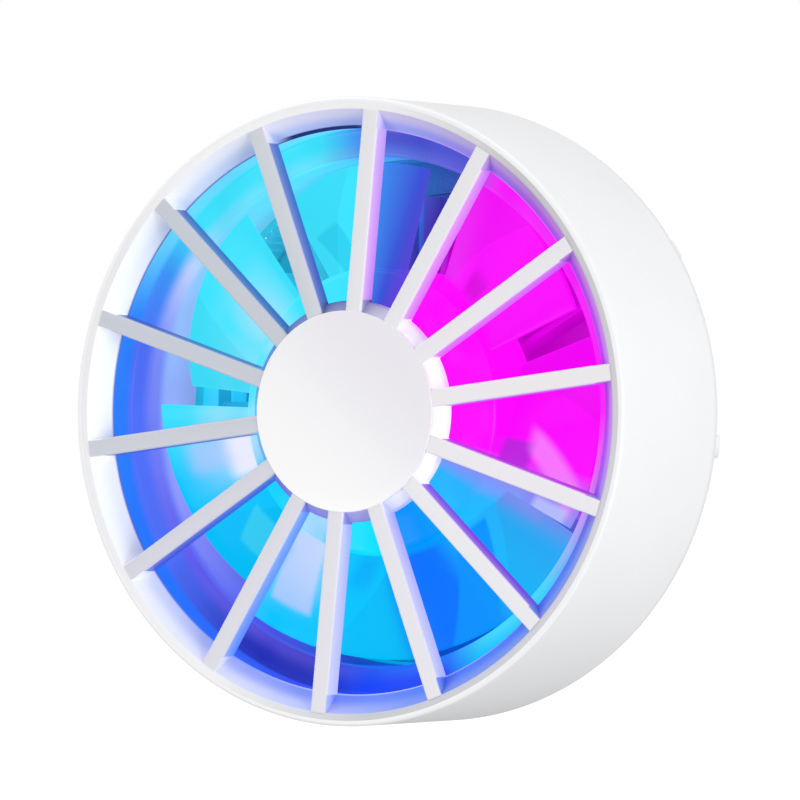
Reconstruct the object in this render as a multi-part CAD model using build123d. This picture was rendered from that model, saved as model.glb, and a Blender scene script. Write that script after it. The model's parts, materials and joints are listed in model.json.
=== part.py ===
from build123d import *
from math import cos, degrees, radians, sin, sqrt, tan
import os

# Magnetic phone cooling fan: a round drum that clings to the back of a phone.
# Each piece is drawn with the phone contact face at z = 0 and the air inlet towards +z,
# and is turned at the end so that the inlet faces -Y and +Z is up. Lengths are in millimetres.

# Driving dimensions of the drum
overall_diameter = 64.0
shell_wall = 1.6
exhaust_gap = 2.2
rear_cover_depth = 3.0
grille_depth = 2.2
hub_cap_rise = 0.1
impeller_to_grille_gap = 3.0

# Clearances and small shared sizes
close_gap = 0.05
play = 0.1
fit_gap = 0.15
overrun = 1.0
merge = 0.3

# Angles, in degrees
spoke_angle = 84.5
claw_angle = 33.5
post_angle = 0.0
rear_screw_angle = 73.5
rib_angle = 43.5
socket_angle = 180.0
blade_angle = 47.5
blade_span_angle = 47.0
shoe_half_angle = 36.0
quarter_turn = 90.0
full_turn = 360.0

# Counts
spoke_count = 14
claw_count = 9
post_count = 3
rib_count = 6
blade_count = 7
fin_count = 36
magnet_slots = 18
led_count = 12
coil_count = 4
pellet_rows = 6
led_lead_count = 3

# Pad and film on the phone side
contact_pad_depth = 0.6
thermal_film_depth = 0.4

# Cold plate, Peltier module and heat sink, stacked forward from the phone
cold_plate_depth = 2.2
cold_plate_flange = 0.9
cold_plate_flange_depth = 1.0
ceramic_depth = 0.7
pellet_height = 1.4
pellet_width = 1.6
thermal_pad_depth = 0.2
heat_sink_base_depth = 1.6
heat_sink_board_gap = 0.8
fin_thickness = 0.6
fin_inner_radius = 9.0
fin_gap = 0.6
fin_channel_width = 5.0
gasket_corner_wall = 1.6
gasket_gap = 0.3
lead_notch_width = 5.2

# Rear cover with the magnet ring
rear_cover_wall = 1.1
rear_cover_floor = 0.8
rear_cover_inner_wall = 2.3
magnet_band = 4.1
magnet_depth = 1.5
magnet_angle = 18.6
shunt_depth = 0.5
bridge_angle = 17.0
rear_edge_round = 0.5

# Claws on the rear rim of the shell, round the rear cover
claw_setback = 1.3
claw_thickness = 2.25
claw_width = 2.4
claw_reach = 3.2
claw_root = 1.4

# Shell details
lip_wall = 0.6
front_edge_round = 0.4
rear_bevel_depth = 1.2
rear_bevel_width = 0.35
post_radius = 1.7
post_web = 2.4
rib_width = 1.2
rib_height = 1.4
ledge_width = 3.0
ledge_height = 1.0
ledge_length = 4.0
ledge_place = 15.0

# Front grille
ring_face_width = 0.5
ring_edge_round = 0.15
spoke_width = 1.82
spoke_round = 0.25
skirt_wall = 0.7
skirt_depth = 1.6
hook_width = 4.0
hook_catch = 0.4
hook_depth = 0.8
hook_angle = 67.5
hub_cap_radius = 10.25
hub_cap_seat_depth = 0.4
hub_cap_crown = 0.15
hub_cap_edge_round = 0.08
boss_flare = 1.05
boss_flare_depth = 1.2
spigot_radius = 8.0
spigot_depth = 0.8

# Light guide, LED board and LEDs
collar_step = 0.2
collar_wall = 0.5
shelf_width = 2.7
shelf_thickness = 1.2
shelf_drop = 0.8
duct_wall = 1.0
led_side = 2.0
led_height = 0.9
led_headroom = 0.9
led_board_depth = 1.0

# Control board and power socket
board_gap = 0.2
board_depth = 0.8
board_end_margin = 2.25
board_rim_gap = 1.6
lead_land = 1.1
chip_place = 8.6
tall_part_place = 13.0
socket_width = 8.94
socket_height = 3.2
socket_round = 1.5
socket_wall = 0.3
socket_length = 7.3
socket_setback = 0.3
socket_back = 1.4
socket_headroom = 0.4
tongue_width = 6.7
tongue_thickness = 0.7
tongue_setback = 0.9
chip_side = 3.6
chip_height = 1.0
small_chip_side = 2.0
small_chip_height = 0.8
inductor_side = 4.0
inductor_height = 2.4
inductor_core_radius = 1.4
inductor_chamfer = 0.5
capacitor_radius = 1.3
capacitor_height = 2.6

# Fan base and bearing
fan_base_depth = 1.2
fan_arm_width = 5.0
fan_rim_margin = 0.2
skirt_gap = 0.5
shaft_radius = 1.0
bearing_gap = 0.02
sleeve_wall = 1.6
tube_wall = 1.0
tube_floor = 0.6
thrust_depth = 0.5
thrust_gap = 0.1
clip_gap = 0.3
clip_depth = 0.25
clip_radius = 1.9
groove_depth = 0.25
tube_head_gap = 0.4
sleeve_inset = 0.4

# Motor board, stator and rotor
motor_board_depth = 0.8
motor_board_margin = 2.0
motor_board_gap = 0.2
motor_chip_length = 2.9
motor_chip_width = 1.6
motor_chip_height = 0.7
hall_inset = 0.8
driver_inset = 2.5
coil_gap = 0.4
coil_wall = 0.9
coil_side_wall = 1.4
coil_inset = 0.2
coil_round = 0.8
insulator_depth = 0.5
core_depth = 2.8
core_ring_wall = 1.4
core_arm_width = 2.6
shoe_depth = 1.6
rotor_gap = 0.5
cup_plate = 0.5
cup_wall = 0.6
rotor_magnet_wall = 1.6
rotor_magnet_inset = 0.3
air_gap = 0.4
cup_rear_inset = 0.8
shaft_boss_radius = 2.2
shaft_cover = 0.4

# Impeller
impeller_hub_radius = 14.7
impeller_hub_wall = 1.1
impeller_hub_plate = 1.2
impeller_edge_round = 0.9
tip_gap = 0.6
blade_thickness = 0.8
blade_camber = 1.3
blade_front_drop = 0.8
blade_rear_rise = 0.9

# Screws and leads
screw_radius = 0.75
screw_head_radius = 1.3
screw_head_depth = 0.9
screw_slot_width = 0.4
screw_slot_depth = 0.5
ear_margin = 1.6
rear_screw_inset = 2.1
rear_boss_radius = 1.9
lead_radius = 0.3
power_lead_radius = 0.5
lead_bend = 0.9
lead_inset = 1.6
lead_spacing = 0.8
led_lead_place = 8.6
led_lead_pitch = 1.5
power_lead_spacing = 1.5
thermistor_radius = 0.7

# Radii worked out from the drum inwards
shell_radius = overall_diameter / 2
shell_inner_radius = shell_radius - shell_wall
grille_radius = shell_radius - lip_wall - play
cone_front_radius = grille_radius - ring_face_width
boss_radius = hub_cap_radius + boss_flare
skirt_radius = shell_inner_radius - play
collar_outer_radius = skirt_radius - skirt_wall - play
collar_radius = collar_outer_radius - collar_wall
throat_radius = collar_radius - collar_step
duct_radius = throat_radius - shelf_width
duct_outer_radius = duct_radius + duct_wall
blade_tip_radius = duct_radius - tip_gap
claw_outer_radius = shell_radius - claw_setback
claw_inner_radius = claw_outer_radius - claw_thickness
rear_cover_radius = claw_inner_radius - fit_gap
magnet_radius = rear_cover_radius - rear_cover_wall - play
magnet_inner_radius = magnet_radius - magnet_band
rear_cover_inner_radius = magnet_inner_radius - play - rear_cover_inner_wall
cold_plate_radius = rear_cover_inner_radius - gasket_gap
peltier_side = sqrt(2) * (cold_plate_radius - gasket_gap - gasket_corner_wall)
post_place_radius = duct_outer_radius + screw_head_radius + fan_rim_margin
rear_screw_place_radius = magnet_radius - rear_screw_inset
board_radius = shell_inner_radius - board_rim_gap
socket_inner_radius = shell_radius - socket_setback - socket_length
board_inner_radius = socket_inner_radius - lead_land
board_middle_radius = (board_radius + board_inner_radius) / 2
board_length = 2 * (tall_part_place + inductor_side / 2 + board_end_margin)
heat_sink_radius = board_inner_radius - heat_sink_board_gap

# Levels worked out from the phone forwards
rear_cover_z = contact_pad_depth
rear_cover_front_z = rear_cover_z + rear_cover_depth
shell_rear_z = rear_cover_front_z + exhaust_gap
cold_plate_front_z = thermal_film_depth + cold_plate_depth
pellet_z = cold_plate_front_z + ceramic_depth
hot_ceramic_z = pellet_z + pellet_height
thermal_pad_z = hot_ceramic_z + ceramic_depth
heat_sink_z = thermal_pad_z + thermal_pad_depth
heat_sink_front_z = heat_sink_z + heat_sink_base_depth
board_z = heat_sink_front_z + board_gap
board_front_z = board_z + board_depth
fan_base_z = board_front_z + socket_height + socket_headroom
fan_base_front_z = fan_base_z + fan_base_depth
motor_board_front_z = fan_base_front_z + motor_board_depth
coil_rear_z = motor_board_front_z + coil_gap
core_z = coil_rear_z + coil_wall + insulator_depth
core_front_z = core_z + core_depth
coil_front_z = core_front_z + insulator_depth + coil_wall
cup_plate_z = coil_front_z + rotor_gap
cup_front_z = cup_plate_z + cup_plate
impeller_front_z = cup_front_z + impeller_hub_plate
impeller_rear_z = fan_base_front_z + skirt_gap
shelf_front_z = impeller_front_z - shelf_drop
shelf_z = shelf_front_z - shelf_thickness
led_board_front_z = shelf_z - led_headroom - led_height
led_board_z = led_board_front_z - led_board_depth
grille_z = impeller_front_z + impeller_to_grille_gap
front_z = grille_z + grille_depth
cap_seat_z = front_z - hub_cap_seat_depth
spigot_z = cap_seat_z - spigot_depth

# Fan bearing, worked out from the shaft
sleeve_bore_radius = shaft_radius + bearing_gap
sleeve_radius = sleeve_bore_radius + sleeve_wall
tube_radius = sleeve_radius + tube_wall
tube_front_z = cup_plate_z - tube_head_gap - coil_wall
thrust_z = fan_base_z + tube_floor
shaft_z = thrust_z + thrust_depth + thrust_gap
clip_z = shaft_z + clip_gap
sleeve_z = clip_z + clip_depth + clip_gap
cup_radius = impeller_hub_radius - impeller_hub_wall
motor_board_radius = cup_radius - motor_board_margin
rotor_magnet_radius = cup_radius - cup_wall
stator_radius = rotor_magnet_radius - rotor_magnet_wall - air_gap
shoe_width = 2 * stator_radius * sin(radians(shoe_half_angle))
arm_reach = stator_radius - shoe_depth

FLAT = (Align.CENTER, Align.CENTER, Align.MIN)


def disc(radius, low_z, high_z):
    """Solid disc about the fan axis, between two levels."""
    return Pos(0, 0, low_z) * Cylinder(radius, high_z - low_z, align=FLAT)


def tube(outer_radius, inner_radius, low_z, high_z):
    """Round tube about the fan axis, between two levels."""
    return disc(outer_radius, low_z, high_z) - disc(inner_radius, low_z - overrun, high_z + overrun)


def block(length, width, low_z, high_z):
    """Box centred on the fan axis in plan, between two levels."""
    return Pos(0, 0, low_z) * Box(length, width, high_z - low_z, align=FLAT)


def bar(inner_radius, outer_radius, width, low_z, high_z):
    """Straight bar along +x from one radius to another."""
    middle = (inner_radius + outer_radius) / 2
    return Pos(middle, 0, 0) * block(outer_radius - inner_radius, width, low_z, high_z)


def turned(angle, shape):
    """The shape turned about the fan axis."""
    return Rot(0, 0, angle) * shape


def round_copies(count, first_angle, shape):
    """Equally spaced copies of the shape about the fan axis."""
    return [turned(first_angle + index * full_turn / count, shape) for index in range(count)]


def sector(outer_radius, inner_radius, low_z, high_z, angle):
    """Piece of a round tube that spans an angle, centred on +x."""
    outline = Rectangle(outer_radius - inner_radius, high_z - low_z)
    outline = Pos((outer_radius + inner_radius) / 2, (low_z + high_z) / 2) * outline
    swept = revolve(Plane.XZ * outline, Axis.Z, angle)
    return turned(-angle / 2 if swept.center().Y > 0 else angle / 2, swept)


def radial_prism(section, radius, level, length):
    """A flat outline, y round the drum and z forwards, extruded outwards from a radius."""
    plane = Plane(origin=(radius, 0, level), x_dir=(0, 1, 0), z_dir=(1, 0, 0))
    return extrude(plane * section, length)


def screw(head_rear_z, length):
    """Cross-head screw that points to +z, with the rear of its head at the given level."""
    shank_z = head_rear_z + screw_head_depth
    body = disc(screw_head_radius, head_rear_z, shank_z) + disc(screw_radius, shank_z, shank_z + length)
    slot_front_z = head_rear_z + screw_slot_depth
    slot = block(screw_head_radius, screw_slot_width, head_rear_z - overrun, slot_front_z)
    return body - slot - turned(quarter_turn, slot)


def group(shapes):
    """Separate solids kept in one node."""
    return Compound([solid for shape in shapes for solid in shape.solids()])


def wire(points, radius):
    """Solid wire of one radius along a bent path."""
    path = FilletPolyline(*points, radius=lead_bend)
    section = Plane(origin=path @ 0, z_dir=path % 0) * Circle(radius)
    return sweep(section, path=path)


def board_turn(distance):
    """Angle of a place on the control board, at a distance round it from the socket."""
    return socket_angle + degrees(distance / board_middle_radius)


def drum_shell():
    """Outer drum with a rebated front lip, rear claws, screw posts, board ribs and the socket opening."""
    outline = Polyline(
        (shell_inner_radius, shell_rear_z),
        (shell_radius - rear_bevel_width, shell_rear_z),
        (shell_radius, shell_rear_z + rear_bevel_depth),
        (shell_radius, front_z - front_edge_round),
    )
    round_centre = (shell_radius - front_edge_round, front_z - front_edge_round)
    outline += CenterArc(round_centre, front_edge_round, 0, quarter_turn)
    outline += Polyline(
        (shell_radius - front_edge_round, front_z),
        (shell_radius - lip_wall, front_z),
        (shell_radius - lip_wall, grille_z),
        (shell_inner_radius, grille_z),
        (shell_inner_radius, shell_rear_z),
    )
    body = revolve(Plane.XZ * make_face(outline), Axis.Z)
    claw_z = shell_rear_z - claw_reach
    claw = bar(claw_inner_radius, claw_outer_radius, claw_width, claw_z, shell_rear_z)
    web_radius = shell_inner_radius + merge
    claw += bar(claw_inner_radius, web_radius, claw_width, shell_rear_z, shell_rear_z + claw_root)
    body += round_copies(claw_count, claw_angle, claw)
    post = Pos(post_place_radius, 0, 0) * disc(post_radius, heat_sink_front_z, fan_base_z)
    post += bar(post_place_radius, web_radius, post_web, heat_sink_front_z, fan_base_z)
    hole = disc(screw_radius + close_gap, heat_sink_front_z - overrun, fan_base_z + overrun)
    post -= Pos(post_place_radius, 0, 0) * hole
    body += round_copies(post_count, post_angle, post)
    rib = bar(shell_inner_radius - rib_height, web_radius, rib_width, board_front_z, led_board_z)
    body += round_copies(rib_count, rib_angle, rib)
    ledge_radius = shell_inner_radius - ledge_length
    ledge = bar(ledge_radius, web_radius, ledge_width, board_z - ledge_height, board_z)
    body += [turned(board_turn(side * ledge_place), ledge) for side in (-1, 1)]
    opening = RectangleRounded(socket_width + 2 * fit_gap, socket_height + 2 * fit_gap, socket_round)
    socket_level = board_front_z + socket_height / 2
    opening = radial_prism(opening, shell_inner_radius - overrun, socket_level, shell_wall + 2 * overrun)
    body -= turned(socket_angle, opening)
    hook_z = grille_z - skirt_depth
    pocket_radius = shell_inner_radius + hook_catch + fit_gap
    pocket = bar(shell_inner_radius - overrun, pocket_radius, hook_width + 2 * fit_gap,
                 hook_z - fit_gap, hook_z + hook_depth + fit_gap)
    body -= round_copies(post_count, hook_angle, pocket)
    return body


def front_grille():
    """Inlet grille: a coned ring, fourteen square spokes, a flared centre boss and a clip-in skirt."""
    outline = Polyline(
        (throat_radius, grille_z),
        (grille_radius, grille_z),
        (grille_radius, front_z - ring_edge_round),
        (grille_radius - ring_edge_round, front_z),
        (cone_front_radius, front_z),
        (throat_radius, grille_z),
    )
    body = revolve(Plane.XZ * make_face(outline), Axis.Z)
    body += tube(skirt_radius, skirt_radius - skirt_wall, grille_z - skirt_depth, grille_z + merge)
    hook = bar(skirt_radius - skirt_wall, shell_inner_radius + hook_catch, hook_width,
               grille_z - skirt_depth, grille_z - skirt_depth + hook_depth)
    body += round_copies(post_count, hook_angle, hook)
    boss = Polyline(
        (0, grille_z),
        (boss_radius, grille_z),
        (boss_radius, front_z - boss_flare_depth),
        (hub_cap_radius, cap_seat_z),
        (0, cap_seat_z),
        (0, grille_z),
    )
    body += revolve(Plane.XZ * make_face(boss), Axis.Z)
    section = Rectangle(spoke_width, grille_depth)
    section = fillet(section.vertices().group_by(Axis.Y)[-1], spoke_round)
    inner = hub_cap_radius - merge
    spoke = radial_prism(section, inner, (grille_z + front_z) / 2, cone_front_radius + merge - inner)
    spoke_ends = disc(cone_front_radius, grille_z, front_z)
    body += round_copies(spoke_count, spoke_angle, spoke & spoke_ends)
    body -= disc(hub_cap_radius + close_gap, cap_seat_z, front_z + overrun)
    return body - disc(spigot_radius + play, spigot_z - play, front_z)


def hub_cap():
    """Low domed centre cap, let into the front of the boss on a spigot."""
    rim_z = front_z + hub_cap_rise
    crown_z = rim_z + hub_cap_crown
    outline = Polyline(
        (0, crown_z),
        (0, spigot_z),
        (spigot_radius, spigot_z),
        (spigot_radius, cap_seat_z),
        (hub_cap_radius, cap_seat_z),
        (hub_cap_radius, rim_z),
    )
    half_radius = hub_cap_radius / 2
    dome_radius = (hub_cap_radius ** 2 + hub_cap_crown ** 2) / (2 * hub_cap_crown)
    half_z = crown_z - dome_radius + sqrt(dome_radius ** 2 - half_radius ** 2)
    outline += ThreePointArc((hub_cap_radius, rim_z), (half_radius, half_z), (0, crown_z))
    body = revolve(Plane.XZ * make_face(outline), Axis.Z)
    round_edges = body.edges().filter_by(GeomType.CIRCLE)
    rim_edges = round_edges.filter_by(lambda edge: abs(edge.center().Z - rim_z) < close_gap)
    return fillet(rim_edges, hub_cap_edge_round)


def light_guide():
    """Glowing liner between grille and fan: a collar, a shelf over the LEDs and the duct round the blades."""
    body = tube(collar_outer_radius, collar_radius, shelf_z, grille_z - play)
    body += tube(collar_outer_radius, duct_radius, shelf_z, shelf_front_z)
    body += tube(duct_outer_radius, duct_radius, fan_base_front_z, shelf_front_z)
    return body


def led_board():
    """Ring-shaped board under the shelf, on the shell's ribs."""
    return tube(shell_inner_radius - play, duct_outer_radius + fan_rim_margin, led_board_z, led_board_front_z)


def led_chips():
    """Square LED packages round the board."""
    middle = (shell_inner_radius + duct_outer_radius) / 2
    led = Pos(middle, 0, 0) * block(led_side, led_side, led_board_front_z, led_board_front_z + led_height)
    return group(round_copies(led_count, 0, led))


def screw_ear(place_radius, inner_radius, low_z, high_z):
    """Rounded tongue that reaches out to a screw, with its hole."""
    ear = Pos(place_radius, 0, 0) * disc(ear_margin, low_z, high_z)
    ear += bar(inner_radius, place_radius, 2 * ear_margin, low_z, high_z)
    hole = disc(screw_radius + close_gap, low_z - overrun, high_z + overrun)
    return ear - Pos(place_radius, 0, 0) * hole


def lead_slot(low_z, high_z):
    """Cutter for the slot that the motor's leads pass through."""
    radius = motor_board_radius - lead_inset
    width = 2 * (lead_spacing + lead_radius + play)
    slot = bar(radius - 2 * lead_radius, radius + 2 * lead_radius, width, low_z - overrun, high_z + overrun)
    return turned(socket_angle, slot)


def fan_base():
    """Motor carrier: centre disc, three arms, a rim that carries the duct, and screw ears."""
    body = disc(cup_radius, fan_base_z, fan_base_front_z)
    rim_radius = duct_outer_radius + fan_rim_margin
    body += tube(rim_radius, duct_radius - fan_rim_margin, fan_base_z, fan_base_front_z)
    arm = bar(cup_radius - merge, duct_radius, fan_arm_width, fan_base_z, fan_base_front_z)
    arm += screw_ear(post_place_radius, duct_radius, fan_base_z, fan_base_front_z)
    body += round_copies(post_count, post_angle, arm)
    body -= disc(tube_radius, fan_base_z - overrun, fan_base_front_z + overrun)
    return body - lead_slot(fan_base_z, fan_base_front_z)


def bearing_tube():
    """Closed brass tube that holds the bearing and the stator."""
    body = disc(tube_radius, fan_base_z, tube_front_z)
    return body - disc(sleeve_radius, thrust_z, tube_front_z + overrun)


def thrust_pad():
    """Low-friction pad under the end of the shaft."""
    return disc(sleeve_radius - play, thrust_z, thrust_z + thrust_depth)


def sleeve_bearing():
    """Oil-filled sleeve that the shaft turns in."""
    return tube(sleeve_radius, sleeve_bore_radius, sleeve_z, tube_front_z - sleeve_inset)


def fan_shaft():
    """Steel shaft with a groove for its clip."""
    body = disc(shaft_radius, shaft_z, impeller_front_z - shaft_cover)
    neck_radius = shaft_radius - groove_depth
    return body - tube(shaft_radius + overrun, neck_radius, clip_z, clip_z + clip_depth)


def shaft_clip():
    """Open washer in the shaft's groove that keeps the rotor from pulling out."""
    neck_radius = shaft_radius - groove_depth
    clip_front_z = clip_z + clip_depth
    body = tube(clip_radius, neck_radius, clip_z, clip_front_z)
    return body - bar(0, clip_radius + overrun, 2 * groove_depth, clip_z - overrun, clip_front_z + overrun)


def motor_board():
    """Round board on the fan base, round the bearing tube."""
    body = tube(motor_board_radius, tube_radius + motor_board_gap, fan_base_front_z, motor_board_front_z)
    return body - lead_slot(fan_base_front_z, motor_board_front_z)


def motor_chips():
    """Magnetic sensor and driver chip on the motor board."""
    level = motor_board_front_z
    sensor = block(motor_chip_width, motor_chip_width, level, level + motor_chip_height)
    driver = block(motor_chip_width, motor_chip_length, level, level + motor_chip_height)
    sensor = Pos(stator_radius - hall_inset, 0, 0) * sensor
    driver = Pos(stator_radius - driver_inset, 0, 0) * driver
    diagonal = quarter_turn / 2
    return group([turned(diagonal, sensor), turned(diagonal + full_turn / 2, driver)])


def stator_outline():
    """Outline of the ring and the four arms, without the pole shoes."""
    outline = Circle(tube_radius + core_ring_wall)
    outline += Rectangle(2 * arm_reach, core_arm_width)
    outline += Rectangle(core_arm_width, 2 * arm_reach)
    return outline - Circle(tube_radius)


def stator_core():
    """Steel lamination stack with four poles."""
    shoes = Circle(stator_radius) - Circle(arm_reach)
    outline = stator_outline()
    outline += shoes & Rectangle(2 * stator_radius, shoe_width)
    outline += shoes & Rectangle(shoe_width, 2 * stator_radius)
    return Pos(0, 0, core_z) * extrude(outline, core_depth)


def stator_insulator_front():
    """Plastic former on the front of the laminations."""
    return Pos(0, 0, core_front_z) * extrude(stator_outline(), insulator_depth)


def stator_insulator_rear():
    """Plastic former on the rear of the laminations."""
    return Pos(0, 0, core_z - insulator_depth) * extrude(stator_outline(), insulator_depth)


def stator_coil(index):
    """One winding round a pole arm."""
    height = coil_front_z - coil_rear_z
    width = core_arm_width + 2 * coil_side_wall
    section = RectangleRounded(width, height, coil_round)
    section -= Rectangle(core_arm_width, height - 2 * coil_wall)
    inner = tube_radius + core_ring_wall + coil_inset
    length = sqrt(arm_reach ** 2 - (width / 2) ** 2) - coil_inset - inner
    coil = radial_prism(section, inner, (coil_front_z + coil_rear_z) / 2, length)
    return turned(index * full_turn / coil_count, coil)


def rotor_cup():
    """Steel cup pressed into the impeller hub."""
    body = disc(cup_radius, impeller_rear_z + cup_rear_inset, cup_front_z)
    body -= disc(rotor_magnet_radius, impeller_rear_z, cup_plate_z)
    return body - disc(shaft_boss_radius, cup_plate_z - overrun, cup_front_z + overrun)


def rotor_magnet():
    """Ring magnet inside the cup."""
    inner = rotor_magnet_radius - rotor_magnet_wall
    rear_z = impeller_rear_z + cup_rear_inset
    return tube(rotor_magnet_radius, inner, rear_z, cup_plate_z - rotor_magnet_inset)


def blade_section(radius):
    """Thin cambered plate at a radius; its leading edge is at the front, on the clockwise side."""
    half_chord = radius * tan(radians(blade_span_angle / 2))
    high = impeller_front_z - blade_front_drop
    low = impeller_rear_z + blade_rear_rise
    middle = (high + low) / 2 + blade_camber
    front_line = ThreePointArc((-half_chord, high), (0, middle), (half_chord, low + blade_thickness))
    rear_middle = (0, middle - blade_thickness)
    rear_line = ThreePointArc((half_chord, low), rear_middle, (-half_chord, high - blade_thickness))
    trailing = Line(front_line @ 1, rear_line @ 0)
    leading = Line(rear_line @ 1, front_line @ 0)
    plane = Plane(origin=(radius, 0, 0), x_dir=(0, 1, 0), z_dir=(1, 0, 0))
    return plane * make_face(front_line + trailing + rear_line + leading)


def impeller():
    """Seven broad blades on a round hub that is open behind."""
    hub = disc(impeller_hub_radius, impeller_rear_z, impeller_front_z)
    rim = hub.edges().filter_by(GeomType.CIRCLE).sort_by(Axis.Z)[-1]
    hub = fillet(rim, impeller_edge_round)
    root_radius = (impeller_hub_radius - impeller_hub_wall) * cos(radians(blade_span_angle / 2)) - merge
    blade = loft([blade_section(root_radius), blade_section(blade_tip_radius + overrun)], ruled=True)
    blade &= disc(blade_tip_radius, impeller_rear_z, impeller_front_z)
    blade -= disc(impeller_hub_radius - merge, impeller_rear_z, impeller_front_z)
    body = hub + round_copies(blade_count, blade_angle, blade)
    body -= disc(cup_radius, impeller_rear_z - overrun, cup_front_z)
    body += disc(shaft_boss_radius, tube_front_z + tube_head_gap, cup_front_z + merge)
    return body - disc(shaft_radius, impeller_rear_z, impeller_front_z - shaft_cover)


def heat_sink():
    """Aluminium base with radial fins and screw ears."""
    body = disc(heat_sink_radius, heat_sink_z, heat_sink_front_z)
    fin_front_z = fan_base_z - fin_gap
    fin_outer_radius = heat_sink_radius - play
    fin = bar(fin_inner_radius, fin_outer_radius, fin_thickness, heat_sink_front_z - merge, fin_front_z)
    body += round_copies(fin_count, 0, fin)
    channel = bar(0, heat_sink_radius + overrun, fin_channel_width, heat_sink_front_z, fin_front_z + overrun)
    body -= turned(socket_angle, channel)
    inner = heat_sink_radius - merge
    ear = screw_ear(post_place_radius, inner, heat_sink_z, heat_sink_front_z)
    body += round_copies(post_count, post_angle, ear)
    tapped_ear = screw_ear(rear_screw_place_radius, inner, heat_sink_z, heat_sink_front_z)
    return body + round_copies(post_count, rear_screw_angle, tapped_ear)


def thermal_pad():
    """Thin pad between the hot ceramic and the heat sink."""
    return block(peltier_side, peltier_side, thermal_pad_z, heat_sink_z)


def peltier_hot_plate():
    """Front ceramic of the Peltier module."""
    return block(peltier_side, peltier_side, hot_ceramic_z, thermal_pad_z)


def peltier_cold_plate():
    """Rear ceramic of the Peltier module."""
    return block(peltier_side, peltier_side, cold_plate_front_z, pellet_z)


def peltier_pellets():
    """Grid of semiconductor pellets between the ceramics."""
    pitch = peltier_side / pellet_rows
    pellet = block(pellet_width, pellet_width, pellet_z, hot_ceramic_z)
    places = GridLocations(pitch, pitch, pellet_rows, pellet_rows)
    return group([Pos(place.position) * pellet for place in places])


def foam_gasket():
    """Foam ring that keeps damp out of the Peltier module, with a notch for its leads."""
    opening = block(peltier_side + gasket_gap, peltier_side + gasket_gap,
                    cold_plate_front_z - overrun, heat_sink_z + overrun)
    body = disc(cold_plate_radius, cold_plate_front_z, heat_sink_z) - opening
    notch = bar(0, shell_radius, lead_notch_width, cold_plate_front_z - overrun, heat_sink_z + overrun)
    return body - turned(socket_angle, notch)


def cold_plate():
    """Aluminium disc that faces the phone, with a flange that seats in the rear cover."""
    body = disc(cold_plate_radius, thermal_film_depth, cold_plate_front_z)
    flange_radius = cold_plate_radius + cold_plate_flange
    return body + disc(flange_radius, cold_plate_front_z - cold_plate_flange_depth, cold_plate_front_z)


def thermal_film():
    """Soft heat-conducting film on the cold plate."""
    return disc(cold_plate_radius, 0, thermal_film_depth)


def rear_cover():
    """Round rear cover with the magnet groove, the seat of the cold plate and three screw bosses."""
    body = tube(rear_cover_radius, rear_cover_inner_radius, rear_cover_z, rear_cover_front_z)
    rear_rim = body.edges().filter_by(GeomType.CIRCLE).group_by(Axis.Z)[0].sort_by(SortBy.RADIUS)[-1]
    body = fillet(rear_rim, rear_edge_round)
    seat_radius = cold_plate_radius + cold_plate_flange + play
    body -= disc(seat_radius, cold_plate_front_z - cold_plate_flange_depth, rear_cover_front_z + overrun)
    groove_radius = magnet_radius + play
    groove_z = rear_cover_z + rear_cover_floor
    body -= tube(groove_radius, magnet_inner_radius - play, groove_z, rear_cover_front_z + overrun)
    bridge = sector(groove_radius + play, magnet_inner_radius - merge, groove_z - play,
                    rear_cover_front_z, bridge_angle)
    body += round_copies(post_count, rear_screw_angle, bridge)
    boss = disc(rear_boss_radius, rear_cover_front_z - merge, heat_sink_z)
    body += round_copies(post_count, rear_screw_angle, Pos(rear_screw_place_radius, 0, 0) * boss)
    hole = disc(screw_radius + close_gap, 0, heat_sink_z + overrun)
    hole += disc(screw_head_radius + play, 0, rear_cover_z + screw_head_depth)
    body -= round_copies(post_count, rear_screw_angle, Pos(rear_screw_place_radius, 0, 0) * hole)
    return body


def ring_magnets():
    """Arc magnets in the rear cover, with a place left out at each screw."""
    magnet_z = rear_cover_z + rear_cover_floor
    arc = sector(magnet_radius, magnet_inner_radius, magnet_z, magnet_z + magnet_depth, magnet_angle)
    places = [index for index in range(magnet_slots) if index % (magnet_slots // post_count)]
    return group([turned(rear_screw_angle + index * full_turn / magnet_slots, arc) for index in places])


def magnet_shunt():
    """Steel arcs over the magnets that keep their field towards the phone."""
    shunt_z = rear_cover_z + rear_cover_floor + magnet_depth
    third = full_turn / post_count
    angle = third - full_turn / magnet_slots
    arc = sector(magnet_radius, magnet_inner_radius, shunt_z, shunt_z + shunt_depth, angle)
    return group(round_copies(post_count, rear_screw_angle + third / 2, arc))


def contact_pad():
    """Soft ring over the magnets that grips the phone."""
    return tube(rear_cover_radius - rear_edge_round, rear_cover_inner_radius, 0, rear_cover_z)


def control_board():
    """Arc-shaped board that carries the power socket."""
    angle = degrees(board_length / board_middle_radius)
    return turned(socket_angle, sector(board_radius, board_inner_radius, board_z, board_front_z, angle))


def board_place(distance):
    """Place on the middle of the control board, at a distance round it from the socket."""
    return Rot(0, 0, board_turn(distance)) * Pos(board_middle_radius, 0, 0)


def control_chips():
    """Chips on the control board."""
    chip = block(chip_side, chip_side, board_front_z, board_front_z + chip_height)
    small = block(small_chip_side, small_chip_side, board_front_z, board_front_z + small_chip_height)
    return group([board_place(-chip_place) * chip, board_place(chip_place) * small])


def power_inductor():
    """Square shielded inductor with its round core."""
    body = block(inductor_side, inductor_side, board_front_z, board_front_z + inductor_height)
    body = chamfer(body.edges().filter_by(Axis.Z), inductor_chamfer)
    top_z = board_front_z + inductor_height
    dimple = disc(inductor_core_radius, top_z - play, top_z)
    return board_place(-tall_part_place) * (body - dimple)


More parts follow.
